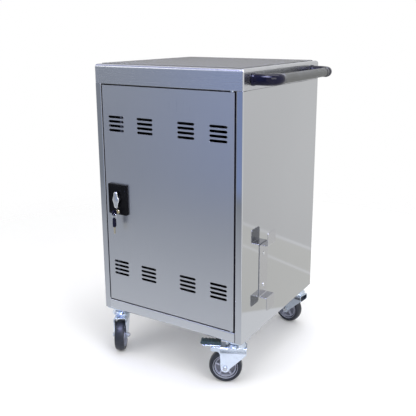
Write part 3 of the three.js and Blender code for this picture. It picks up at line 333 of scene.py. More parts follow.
def hexagon(radius, low, high, edge):
    """A hexagon head with rounded rims and corners."""
    return plate(fillet(circle(radius, 6), radius * 0.06, 3), low, high, edge)


def holed(outline, centre, radius, low, high, edge, sides=72):
    """A plate with a round hole: rings run from the outline over both faces to the hole."""
    outline, centre = np.asarray(outline, float), np.asarray(centre)
    step = np.linspace(0, 1, 24, endpoint=False)[None, :, None]
    dense = outline[:, None] + step * (np.roll(outline, -1, 0) - outline)[:, None]
    dense = dense.reshape(-1, 2) - centre
    angle = np.linspace(-np.pi, np.pi, sides, endpoint=False)
    reach = np.interp(angle, np.arctan2(dense[:, 1], dense[:, 0]), np.linalg.norm(dense, axis=1),
                      period=2 * np.pi)
    ring = np.stack([np.cos(angle), np.sin(angle)], -1)
    eye = np.full(sides, radius)
    soft = 0.3 * edge
    stations = [(reach - edge, low), (reach - soft, low + soft), (reach, low + edge),
                (reach, high - edge), (reach - soft, high - soft), (reach - edge, high),
                (eye + edge / 2, high), (eye, high - edge / 2), (eye, low + edge / 2), (eye + edge / 2, low)]
    rings = [level(r[:, None] * ring + centre, z) for r, z in stations]
    return grid(np.stack(rings), close_u=True, close_v=True)


def button_screw(radius, height, key):
    """A domed screw head with a hexagon socket, standing on its own Z."""
    sides, brow = 48, 1.5 * key
    ring = circle(1.0, sides)
    angle = np.linspace(0, 2 * np.pi, sides, endpoint=False)[:, None]
    six = math.cos(math.pi / 6) / np.cos(np.mod(angle, np.pi / 3) - np.pi / 6)
    turn = np.linspace(0, np.pi / 2, 10)
    dome = zip(brow + (radius - brow) * np.cos(turn), height * (0.2 + 0.8 * np.sin(turn)))
    socket = [(1.1 * key, height), (key, 0.95 * height), (key, 0.4 * height), (0.0, 0.4 * height)]
    rings = [level(r * ring, h) for r, h in [(radius, 0.0), *dome]]
    rings += [level(r * six * ring, h) for r, h in socket]
    return grid(np.stack(rings), close_v=True)


# Pieces

def add_object(name, data):
    """A new object in the scene."""
    made = bpy.data.objects.new(name, data)
    bpy.context.scene.collection.objects.link(made)
    return made


def show(name, part, body, look, nodes=(), smooth=SMOOTH):
    """A finished piece: merged, facing outwards, smooth below the given angle, riding on its body."""
    points, faces = part
    mesh = bpy.data.meshes.new(name)
    mesh.from_pydata(points.tolist(), [], faces)
    shell = bmesh.new()
    shell.from_mesh(mesh)
    bmesh.ops.remove_doubles(shell, verts=shell.verts, dist=1e-7)
    bmesh.ops.recalc_face_normals(shell, faces=shell.faces)
    shell.to_mesh(mesh)
    shell.free()
    dress(name, mesh, body, look, nodes, smooth)


def soften(name, solid, look, width, segments=2):
    """A copy of a solid with its triangles merged into whole faces and its sharp edges rounded."""
    source = frame["nodes"][solid]
    mesh = source.data.copy()
    mesh.name = name
    mesh.materials.clear()
    shell = bmesh.new()
    shell.from_mesh(mesh)
    bmesh.ops.remove_doubles(shell, verts=shell.verts, dist=2e-6)
    bmesh.ops.dissolve_limit(shell, angle_limit=math.radians(0.6), verts=shell.verts, edges=shell.edges)
    shell.to_mesh(mesh)
    shell.free()
    for attribute in list(mesh.attributes):
        if attribute.name.startswith("custom_normal"):
            mesh.attributes.remove(attribute)
    dress(name, mesh, source["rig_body"], look, (solid,), SMOOTH, (width, segments))


def dress(name, mesh, body, look, nodes, smooth, bevel=None):
    """The mesh as an object with its material, edges and body."""
    piece = add_object(name, mesh)
    mesh.polygons.foreach_set("use_smooth", np.ones(len(mesh.polygons), bool))
    mesh.set_sharp_from_angle(angle=math.radians(smooth))
    mesh.materials.append(LOOKS[look])
    if bevel:
        rounding = piece.modifiers.new("Rounded edges", "BEVEL")
        rounding.width, rounding.segments = bevel
        rounding.limit_method = "ANGLE"
        rounding.angle_limit = math.radians(SHARP)
        rounding.harden_normals = True
    even = piece.modifiers.new("Even faces", "WEIGHTED_NORMAL")
    even.weight = 100
    even.keep_sharp = True
    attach(piece, body)
    if nodes:
        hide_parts(*nodes)


# Materials

def node(tree, kind, links=None, **values):
    """A node with its values set, then its sockets, each to a number or a colour or from an output socket."""
    made = tree.nodes.new(kind)
    for key, value in values.items():
        setattr(made, key, value)
    for socket, source in (links or {}).items():
        if hasattr(source, "is_output"):
            tree.links.new(source, made.inputs[socket])
        else:
            made.inputs[socket].default_value = source
    return made


def maths(tree, operation, *values):
    """The result of a sum, from numbers and output sockets."""
    return node(tree, "ShaderNodeMath", dict(enumerate(values)), operation=operation).outputs[0]


def ramp(tree, value, low, high, start=0.3, stop=0.7):
    """A number carried from one range to another."""
    return node(tree, "ShaderNodeMapRange", {"Value": value, "From Min": start, "From Max": stop,
                                             "To Min": low, "To Max": high}).outputs["Result"]


def blend(tree, factor, dark, light):
    """A colour between two tones; either tone may be another node's colour."""
    mix = tree.nodes.new("ShaderNodeMix")
    mix.data_type = "RGBA"
    tones = [socket for socket in mix.inputs if socket.type == "RGBA"]
    for socket, tone in zip(tones, (dark, light)):
        if hasattr(tone, "is_output"):
            tree.links.new(tone, socket)
        else:
            socket.default_value = (*tone, 1)
    tree.links.new(factor, mix.inputs[0])
    return next(socket for socket in mix.outputs if socket.type == "RGBA")


def tint(base, k):
    """A colour made lighter or darker."""
    return tuple(min(1.0, c * k) for c in base)


def feed(tree, shader, colour_from, rough_from):
    """Colour and roughness of a shader from two output sockets."""
    tree.links.new(colour_from, shader.inputs["Base Color"])
    tree.links.new(rough_from, shader.inputs["Roughness"])


def bump(tree, shader, height, distance, strength):
    """Relief from a height."""
    relief = node(tree, "ShaderNodeBump", {"Height": height, "Distance": distance, "Strength": strength})
    tree.links.new(relief.outputs["Normal"], shader.inputs["Normal"])


def new_group(name, inputs, outputs):
    """An empty shader node group with named sockets: (name, kind, default) in, and numbers out."""
    group = bpy.data.node_groups.new(name, "ShaderNodeTree")
    for label, kind, default in inputs:
        socket = group.interface.new_socket(label, in_out="INPUT", socket_type=kind)
        if default is not None:
            socket.default_value = default
    for label in outputs:
        group.interface.new_socket(label, in_out="OUTPUT", socket_type="NodeSocketFloat")
    return group, group.nodes.new("NodeGroupInput").outputs, group.nodes.new("NodeGroupOutput").inputs


def grain_group():
    """Brushed sheet: streaks are noise drawn out along the grain, clouds are soft noise, both from 0 to 1."""
    group, given, result = new_group("Brushed grain", [
        ("Vector", "NodeSocketVector", None), ("Stretch", "NodeSocketVector", (900, 900, 9)),
        ("Cloud size", "NodeSocketFloat", 3.0)], ["Streaks", "Clouds"])
    drawn = node(group, "ShaderNodeVectorMath", {0: given["Vector"], 1: given["Stretch"]},
                 operation="MULTIPLY")
    fine = node(group, "ShaderNodeTexNoise", {"Vector": drawn.outputs[0], "Scale": 1.0, "Detail": 3.0,
                                              "Roughness": 0.65})
    soft = node(group, "ShaderNodeTexNoise", {"Vector": given["Vector"], "Scale": given["Cloud size"],
                                              "Detail": 2.0, "Distortion": 0.6})
    group.links.new(fine.outputs["Fac"], result["Streaks"])
    group.links.new(soft.outputs["Fac"], result["Clouds"])
    return group


def skin_group():
    """Moulded skin: a fine pebbled height, and a slow change of tone, both from 0 to 1."""
    group, given, result = new_group("Moulded skin", [
        ("Vector", "NodeSocketVector", None), ("Pebble", "NodeSocketFloat", 900.0),
        ("Patch", "NodeSocketFloat", 18.0)], ["Height", "Tone"])
    pebble = node(group, "ShaderNodeTexVoronoi", {"Vector": given["Vector"], "Scale": given["Pebble"]},
                  feature="SMOOTH_F1")
    patch = node(group, "ShaderNodeTexNoise", {"Vector": given["Vector"], "Scale": given["Patch"],
                                               "Detail": 4.0})
    group.links.new(pebble.outputs["Distance"], result["Height"])
    group.links.new(patch.outputs["Fac"], result["Tone"])
    return group


def start(name):
    """A material with its shader and the piece's own coordinates."""
    material = bpy.data.materials.new(name)
    material.use_nodes = True
    tree = material.node_tree
    place = tree.nodes.new("ShaderNodeTexCoord").outputs["Object"]
    return material, tree, tree.nodes["Principled BSDF"], place


def grouped(tree, key, **sockets):
    """The outputs of one of the shared groups, with its sockets set."""
    links = {name.title(): source for name, source in sockets.items()}
    return node(tree, "ShaderNodeGroup", links, node_tree=GROUPS[key]).outputs


def sheet_metal(name, stretch, rough, spread, relief, light=1.0, base=None):
    """Stainless sheet: streaks along the grain change tone and gloss, soft clouds are wiped hand marks, and a
    lightness above 1 paints a brighter copy of the steel as painted light.
    """
    material, tree, shader, place = start(name)
    grain = grouped(tree, "grain", vector=place, stretch=stretch)
    # The lightness scales the steel's colour: painted light where it is above 1
    steel = tint(base or finish().steel, light)
    streak, wiped = 0.05, 0.985
    tone = blend(tree, grain["Streaks"], tint(steel, 1 - streak), tint(steel, 1 + streak))
    tone = blend(tree, ramp(tree, grain["Clouds"], 0.0, 1.0), tone, tint(steel, wiped))
    gloss = maths(tree, "ADD", ramp(tree, grain["Streaks"], rough - spread, rough + spread),
                  ramp(tree, grain["Clouds"], 0.0, spread))
    feed(tree, shader, tone, gloss)
    bump(tree, shader, grain["Streaks"], distance=0.02 * MM, strength=relief)
    shader.inputs["Metallic"].default_value = 1.0
    shader.inputs["Anisotropic"].default_value = 0.25
    return material


def plated(name, base, rough, spangle):
    """Plated steel: faint crystal facets of differing tone, with slow changes of gloss."""
    material, tree, shader, place = start(name)
    contrast, bright, dull = 0.05, 0.8, 1.3
    facet = node(tree, "ShaderNodeTexVoronoi", {"Vector": place, "Scale": spangle})
    slow = node(tree, "ShaderNodeTexNoise", {"Vector": place, "Scale": 60.0, "Detail": 3.0}).outputs["Fac"]
    tone = blend(tree, facet.outputs["Color"], tint(base, 1 - contrast), tint(base, 1 + contrast))
    feed(tree, shader, tone, ramp(tree, slow, rough * bright, rough * dull))
    bump(tree, shader, slow, distance=0.05 * MM, strength=0.15)
    shader.inputs["Metallic"].default_value = 1.0
    return material


def moulded(name, base, rough, pebble=900.0, depth=0.04, shine=0.5, worn=1.25):
    """Moulded plastic or rubber: a pebbled skin with slow changes of tone and gloss, depth in millimetres."""
    material, tree, shader, place = start(name)
    skin = grouped(tree, "skin", vector=place, pebble=pebble)
    fresh, sway = 0.9, 0.15
    tone = blend(tree, ramp(tree, skin["Tone"], 0.0, 1.0), tint(base, fresh), tint(base, worn))
    feed(tree, shader, tone, ramp(tree, skin["Tone"], rough * (1 - sway), rough * (1 + sway)))
    bump(tree, shader, skin["Height"], depth * MM, strength=0.35)
    shader.inputs["Specular IOR Level"].default_value = shine
    return material


def ribbed_mat(name):
    """Rubber mat: fine ribs along X from a sine wave, with painted shade in their grooves and painted
    highlight on their crests, over a pebbled skin with dusty patches.
    """
    material, tree, shader, place = start(name)
    skin = grouped(tree, "skin", vector=place, pebble=1400.0)
    # A wave texture of scale 1 repeats every pi / 10
    ribs = node(tree, "ShaderNodeTexWave", {"Vector": place, "Scale": math.pi / 10 / detail().rib},
                bands_direction="Y").outputs["Fac"]
    base = finish().mat
    # Grooves painted darker and crests lighter along the rib wave: painted shade and painted highlight
    groove, crest, dust, dusty = tint(base, 0.78), tint(base, 1.12), tint(base, 1.3), 0.45
    tone = blend(tree, ramp(tree, skin["Tone"], 0.0, dusty), blend(tree, ribs, groove, crest), dust)
    feed(tree, shader, tone, ramp(tree, skin["Tone"], low=0.62, high=0.8))
    bump(tree, shader, maths(tree, "ADD", ribs, skin["Height"]), distance=0.4 * MM, strength=0.6)
    shader.inputs["Specular IOR Level"].default_value = 0.3
    return material


def make_looks():
    """Every material of the cart, by a short name."""
    GROUPS.update(grain=grain_group(), skin=skin_group())
    f = finish()
    LOOKS.update({
        # Sheet: stretch of the grain along X, Y and Z, roughness, its spread, relief, lightness; the side,
        # cover and base pan are brighter copies of one stainless, painted light
        "door": sheet_metal("Satin stainless, upright grain", (900, 900, 9), 0.30, 0.035, 0.12),
        "side": sheet_metal("Polished stainless", (700, 700, 12), 0.055, 0.015, 0.03, 1.05),
        "cover": sheet_metal("Satin stainless, level grain", (9, 9, 900), 0.24, 0.03, 0.10, 1.08),
        # The cleat's bluer steel is painted shade, standing in for the navy shade on the bent strip
        "cleat": sheet_metal("Brushed strip", (500, 500, 20), 0.2, 0.03, 0.08, base=f.strip),
        # The base pan's steel is painted brightest, a painted reflection of the bright floor in front of it
        "sill_painted_bright": sheet_metal("Satin stainless, bright", (9, 9, 900), 0.22, 0.03, 0.10, 1.16),
        "inner": sheet_metal("Mill stainless", (300, 300, 60), 0.36, 0.05, 0.12),
        # Plated: colour, roughness, fineness of the crystal facets
        "zinc": plated("Bright zinc", f.zinc, 0.2, 260.0),
        "rod": plated("Dark steel", f.rod, 0.4, 300.0),
        "chrome": plated("Satin chrome", f.chrome, 0.2, 700.0),
        "brass": plated("Nickel brass", f.brass, 0.24, 500.0),
        "bolt": plated("Dull zinc", f.bolt, 0.34, 420.0),
        # Moulded: colour, roughness, fineness of the pebbles, their depth
        "collar": moulded("Collar moulding", f.collar, 0.4),
        "insert": moulded("Socket insert", f.insert, 0.4),
        "gloss": moulded("Gloss black moulding", f.gloss_black, 0.1, 500.0, 0.01, shine=0.2),
        "plate": moulded("Plate moulding", f.plate_black, 0.3, depth=0.02, shine=0.12),
        "grip": moulded("Grip sleeve", f.grip, 0.55, 1300.0, 0.22),
        "tyre": moulded("Tyre rubber", f.tyre, 0.36, 800.0, 0.06, shine=0.3, worn=1.5),
        "hub": moulded("Hub moulding", f.hub, 0.38),
        # Painted shade that darkens the door gaps
        "gap_shade": moulded("Lining rubber", f.gap_shade, 0.6, shine=0.2),
        # The web is the hub's own plastic painted darker: painted shade in the recess between rim and boss
        "web": moulded("Hub web", tint(f.hub, 0.42), 0.5),
        "pedal": moulded("Pedal moulding", f.pedal, 0.35, depth=0.08, worn=1.6),
        "rack": moulded("Divider coating", f.rack, 0.5, 1100.0, 0.1),
        "socket": moulded("Socket moulding", f.socket, 0.42, 1200.0, 0.05),
        "mat": ribbed_mat("Ribbed mat"),
    })


# Operators

class CART_OT_stage(bpy.types.Operator):
    """Camera, floor, room and lamps"""
    bl_idname = "cart.stage"
    bl_label = "Stage"

    def execute(self, context):
        context.scene.view_settings.view_transform = "Standard"
        self.camera()
        self.floor()
        self.dim_room()
        self.pale_room()
        self.ceiling()
        self.world()
        for name, power, size, place, aim in LAMPS:
            self.lamp(name, getattr(stage(), power), size, place, aim)
        return {"FINISHED"}

    def camera(self):
        """Camera at the photograph's viewing angle."""
        s = stage()
        lens = bpy.data.cameras.new("Camera")
        lens.sensor_width = SENSOR
        lens.lens = s.focal * SENSOR
        lens.shift_x, lens.shift_y = s.shift_x, s.shift_y
        camera = add_object("Camera", lens)
        camera.location = s.eye
        camera.rotation_euler = (math.pi / 2 - s.pitch, 0, s.yaw)
        bpy.context.scene.camera = camera

    def add(self, name, points, faces, material):
        """A stage piece that isn't part of the cart."""
        mesh = bpy.data.meshes.new(name)
        mesh.from_pydata(points, [], faces)
        mesh.materials.append(material)
        piece = add_object(name, mesh)
        return piece

    def card(self, name, points, faces, material):
        """A card that only mirrors see."""
        card = self.add(name, points, faces, material)
        card.visible_camera = False
        card.visible_diffuse = False
        card.visible_shadow = False

    def paper(self, name):
        """A glowing material for a card, with its coordinates."""
        material = bpy.data.materials.new(name)
        material.use_nodes = True
        tree = material.node_tree
        tree.nodes.clear()
        place = tree.nodes.new("ShaderNodeTexCoord").outputs["Object"]
        glow = tree.nodes.new("ShaderNodeEmission")
        node(tree, "ShaderNodeOutputMaterial", {"Surface": glow.outputs[0]}, is_active_output=True)
        return material, tree, place, glow

    def drift(self, tree, place, glow, scale, share):
        """Strength of a glow that drifts by slow noise."""
        soft = node(tree, "ShaderNodeTexNoise", {"Vector": place, "Scale": scale, "Detail": 1.0})
        tree.links.new(ramp(tree, soft.outputs["Fac"], 1 - share, 1 + share), glow.inputs["Strength"])

    def floor(self):
        """A pale round sweep that keeps the cart's shadow and fades into the white room at its rim."""
        s = stage()
        material, tree, shader, place = start("Pale sweep")
        mottle = node(tree, "ShaderNodeTexNoise", {"Vector": place, "Scale": 3.0, "Detail": 2.0})
        faint = 0.005
        tone = blend(tree, mottle.outputs["Fac"], tint(s.floor, 1 - faint), tint(s.floor, 1 + faint))
        tree.links.new(tone, shader.inputs["Base Color"])
        shader.inputs["Roughness"].default_value = 0.9
        shader.inputs["Specular IOR Level"].default_value = 0.05
        far = node(tree, "ShaderNodeVectorMath", {0: place}, operation="LENGTH").outputs["Value"]
        tree.links.new(ramp(tree, far, 1.0, 0.0, s.near, s.rim), shader.inputs["Alpha"])
        sides = 96
        self.add("floor", level(circle(s.rim, sides), 0).tolist(), [list(range(sides))], material)

    def dim_room(self):
        """A dim wall and floor behind the camera, with a bluer band, for mirrors only."""
        s = stage()
        left, right, back, front, top, low = -5.0, 0.8, -2.4, -0.42, 3.2, 0.004
        band_start, band_end, band_rest = (-1.85, -0.85), (-0.5, 0.1), 0.15
        wall_foot, floor_run = (-2.38, -2.0), (-2.1, -0.45)
        material, tree, place, glow = self.paper("Dim room")
        self.drift(tree, place, glow, scale=0.7, share=0.08)
        axis = node(tree, "ShaderNodeSeparateXYZ", {0: place}).outputs
        band = maths(tree, "MULTIPLY", ramp(tree, axis["X"], 0.0, 1.0, *band_start),
                     ramp(tree, axis["X"], 1.0, band_rest, *band_end))
        blue = maths(tree, "MULTIPLY", band, ramp(tree, axis["Y"], 1.0, 0.0, *wall_foot))
        wall = blend(tree, blue, s.room, s.window)
        tree.links.new(blend(tree, ramp(tree, axis["Y"], 0.0, 1.0, *floor_run), wall, s.ground),
                       glow.inputs["Color"])
        foot = [(left, back, low), (right, back, low)]
        head = [(right, back, top), (left, back, top)]
        near = [(left, front, low), (right, front, low)]
        self.card("dim_room", foot + head + near, [(0, 1, 2, 3), (0, 4, 5, 1)], material)

    def pale_room(self):
        """A pale floor with a joint beside the cart, and a wall askew on the right, for mirrors only."""
        s = stage()
        left, right, back, front, top, low = 0.3, 3.4, 0.785, -0.4, 2.6, 0.004
        skirting, joint, pale, faint = (0.014, 0.008), (0.555, 0.012), (0.98, 0.98, 1.0), 0.6
        cool_edge, cool_slope, fade = (0.65, 0.665), 0.9, (1.1, 2.6)
        wall_rise, wall_foot, foot_shade = (0.0, 1.4), (low, 0.006), 0.87
        material, tree, place, glow = self.paper("Pale room")
        self.drift(tree, place, glow, scale=0.9, share=0.03)
        axis = node(tree, "ShaderNodeSeparateXYZ", {0: place}).outputs
        wall = blend(tree, ramp(tree, axis["Z"], 0.0, 1.0, *wall_rise), tint(s.wall, foot_shade), s.wall)
        slant = maths(tree, "MULTIPLY_ADD", axis["Y"], cool_slope, axis["X"])
        tile = blend(tree, ramp(tree, slant, 1.0, 0.0, *cool_edge), s.tile, s.cool)
        tile = blend(tree, ramp(tree, axis["X"], 0.0, 1.0, *fade), tile, (1.0, 1.0, 1.0))
        tone = blend(tree, ramp(tree, axis["Z"], 0.0, 1.0, *wall_foot), tile, wall)
        away = maths(tree, "MULTIPLY_ADD", axis["X"], -ASKEW, axis["Y"])
        line = maths(tree, "MAXIMUM", maths(tree, "COMPARE", axis["Z"], *skirting),
                     maths(tree, "COMPARE", away, *joint))
        tree.links.new(blend(tree, maths(tree, "MULTIPLY", line, faint), tone, pale), glow.inputs["Color"])
        foot = [(-right, back, low), (0, back, low), (right, back + ASKEW * right, low)]
        head = [(x, y, top) for x, y, _ in foot]
        near = [(left, front, low), (right, front, low), foot[2], (left, back + ASKEW * left, low)]
        self.card("pale_room", foot + head + near, [(0, 1, 4, 3), (1, 2, 5, 4), (6, 7, 8, 9)], material)

    def ceiling(self):
        """A cool ceiling with a soft lamp panel, wider than it is deep, for mirrors only."""
        s = stage()
        left, right, back, front, top = -5.0, 2.4, -2.4, -0.1, 3.2
        centre, size, soft_edge = (0.5, -1.35, top), (1.7, 1.0, 1.0), (0.1, 0.8)
        material, tree, place, glow = self.paper("Cool ceiling")
        glow.inputs["Color"].default_value = (*s.ceiling, 1)
        spot = node(tree, "ShaderNodeMapping", {"Vector": place}, vector_type="TEXTURE")
        spot.inputs["Location"].default_value = centre
        spot.inputs["Scale"].default_value = size
        panel = node(tree, "ShaderNodeTexGradient", {"Vector": spot.outputs[0]}, gradient_type="SPHERICAL")
        tree.links.new(ramp(tree, panel.outputs["Fac"], 1.0, s.panel, *soft_edge), glow.inputs["Strength"])
        corners = [(left, back, top), (right, back, top), (right, front, top), (left, front, top)]
        self.card("cool_ceiling", corners, [(0, 1, 2, 3)], material)

    def world(self):
        """Even room light, white where the camera, mirrors and glass look past the floor."""
        world = bpy.data.worlds.new("Room")
        bpy.context.scene.world = world
        world.use_nodes = True
        tree = world.node_tree
        tree.nodes.clear()
        path = tree.nodes.new("ShaderNodeLightPath").outputs
        seen = maths(tree, "MAXIMUM", path["Is Camera Ray"], path["Is Glossy Ray"])
        seen = maths(tree, "MAXIMUM", seen, path["Is Transmission Ray"])
        strength = ramp(tree, seen, stage().sky, 1.0, 0.0, 1.0)
        back = node(tree, "ShaderNodeBackground", {"Color": (1, 1, 1, 1), "Strength": strength})
        node(tree, "ShaderNodeOutputWorld", {"Surface": back.outputs[0]})

    def lamp(self, name, power, size, place, aim):
        """A square area lamp that looks at a point."""
        light = bpy.data.lights.new(name, "AREA")
        light.energy = power
        light.shape = "SQUARE"
        light.size = size
        lamp = add_object(name, light)
        lamp.location = place
        lamp.rotation_euler = (Vector(aim) - Vector(place)).to_track_quat("-Z", "Y").to_euler()


class CART_OT_cabinet(bpy.types.Operator):
    """Folded sheets of the cabinet and its doors"""
    bl_idname = "cart.cabinet"
    bl_label = "Cabinet"

    def execute(self, context):
        d = detail()
        for name, solid, look, width, segments in (
                ("door_skin", "door_panel", "door", d.fold, 3),
                ("rear_door_skin", "rear_door", "door", d.fold, 3),
                ("left_panel_skin", "left_side_panel", "side", d.edge, 2),
                ("right_panel_skin", "right_side_panel", "side", d.edge, 2),
                ("base_skin", "base_pan", "sill_painted_bright", d.edge, 2),
                ("cleat_skin", "cord_cleat", "cleat", d.edge, 2),
                ("header_rail_skin", "header_rail", "inner", d.edge * 0.3, 2),
                ("rear_rail_skin", "rear_rail", "inner", d.edge * 0.3, 2),
                ("shelf_skin", "mid_shelf", "inner", d.edge * 0.3, 2),
                ("partition_skin", "partition_panel", "inner", d.edge * 0.3, 2)):
            soften(name, solid, look, width, segments)
        self.cover()
        self.mat()
        self.gap_shade()
        return {"FINISHED"}

    def cover(self):
        """Folded cover: a rounded rectangle carried round the top edge, down the skirt and back up inside."""
        low, high = box("top_cover")
        centre, half = (low + high)[:2] / 2, (high - low)[:2] / 2
        edge, sheet, corner, least = mm((10, 1.5, 4.5, 0.6))
        burr, rise = mm((0.3, 0.4))
        flat, bend = half.min() * 0.5, edge - sheet
        turn = np.linspace(0, np.pi / 2, 10)
        run, drop = 1 - np.cos(turn), 1 - np.sin(turn)
        outside = [(burr, low[2]), (0, low[2] + rise),
                   *zip(edge * run, high[2] - edge * drop), (flat, high[2])]
        under = high[2] - sheet
        inside = [(sheet - burr, low[2]), (sheet, low[2] + rise),
                  *zip(sheet + bend * run, under - bend * drop), (flat, under)]
        rings = [level(oblong(*(half - inset), max(corner - inset, least)) + centre, z)
                 for inset, z in outside[::-1] + inside]
        show("cover_skin", capped(np.stack(rings)), "cabinet", "cover", ["top_cover"],
             smooth=32)

    def mat(self):
        """Rubber mat: a thin plate with a rounded rim."""
        low, high = box("top_mat")
        centre, half = (low + high)[:2] / 2, (high - low)[:2] / 2
        sheet = plate(oblong(*half, 10 * MM), low[2], high[2], 0.8 * MM)
        show("mat_sheet", put(sheet, (*centre, 0)), "cabinet", "mat", ["top_mat"])

    def gap_shade(self):
        """Dark strips inside both posts beside each door, painted shade that darkens the door gaps: each a
        thin strip with rounded rims.
        """
        near, far, gap, thick = mm((0.6, 17, 4.5, 0.9))
        for name, end in (("door_panel", -1), ("rear_door", 1)):
            low, high = box(name)
            face = low[1] if end < 0 else high[1]
            strip = fillet([(near, low[2]), (far, low[2]), (far, high[2]), (near, high[2])], 1 * MM)
            reach, middle = (high[0] - low[0]) / 2 + gap, (low[0] + high[0]) / 2
            parts = [put(plate(strip, 0.0, thick, 0.3 * MM), (middle + side * reach, face, 0),
                         (0, -end, 0), UP, (-side, 0, 0)) for side in (-1, 1)]
            show(f"{name.removesuffix('_panel')}_lining", join(*parts), "cabinet", "gap_shade")


class CART_OT_handle(bpy.types.Operator):
    """Push handle: elbows, grooved collars and the sleeved bar"""
    bl_idname = "cart.handle"
    bl_label = "Handle"

    def execute(self, context):
        for name, end in (("front", -1), ("rear", 1)):
            self.elbow(name, end)
            self.collar(name)
        low, high = box("handle_bar")
        r, run, chamfer = (high[2] - low[2]) / 2, high[1] - low[1], 1.2 * MM
        profile = [(0, 0), (r - chamfer, 0), (r, chamfer), (r, run - chamfer), (r - chamfer, run), (0, run)]
        self.turned("bar_sleeve", profile, low, high, "grip", "handle_bar", "bar_plastic")
        return {"FINISHED"}

    def turned(self, name, profile, low, high, look, solid, slot):
        """A turned piece on the bar's own line."""
        middle = (low + high) / 2
        show(name, put(lathe(profile, 96), (middle[0], low[1], middle[2]), *ALONG_Y), "cabinet", look,
             [solid])

    def elbow(self, name, end):
        """Moulded elbow: a tube round a quarter turn, wider at its foot, with a rolled lip at its mouth."""
        solid = f"handle_elbow_{name}"
        low, high = box(solid)
        r, bend = (high[2] - low[2]) / 2, 34 * MM
        foot, bar_x, z = low[0], high[0] - r, (low[2] + high[2]) / 2
        root = low[1] + r if end < 0 else high[1] - r
        mouth = high[1] if end < 0 else low[1]
        run = foot + mm((0, 0.5, 3.0, 4.2, 5.4, 7.0, 10.0, 16.0, 22.0))
        wide = (1.09, 1.12, 1.12, 1.10, 1.04, 1.01, 1, 1, 1)
        turn = np.linspace(0, np.pi / 2, 30)
        lip = mouth + end * mm((4.5, 2.0, 0.8, 0.2, 0.0))
        rolled = (1, 1, 0.995, 0.98, 0.95)
        along = np.concatenate([run, bar_x - bend + bend * np.sin(turn), np.full(len(lip), bar_x)])
        across = np.concatenate([np.full(len(run), root), root - end * bend * (1 - np.cos(turn)), lip])
        path = np.column_stack([along, across, np.full(len(along), z)])
        radius = r * np.concatenate([wide, np.ones(len(turn)), rolled])
        show(f"elbow_{name}", tube(path, radius, 64), "cabinet", "gloss", [solid], smooth=50)

    def collar(self, name):
        """Collar: three soft ridges between the elbow and the bar."""
        solid = f"handle_collar_{name}"
        low, high = box(solid)
        run, rim = high[1] - low[1], (high[2] - low[2]) / 2
        ridges, groove, mouth = 3, 0.65 * MM, rim - 2 * MM
        h = np.linspace(0, 1, 49)
        r = rim - groove * (1 + np.cos(2 * np.pi * (h * ridges - 0.5))) ** 2 / 2
        profile = [(0, 0), (mouth, 0), *zip(r, h * run), (mouth, run), (0, run)]
        self.turned(f"collar_{name}", profile, low, high, "collar", solid, "black_plastic")


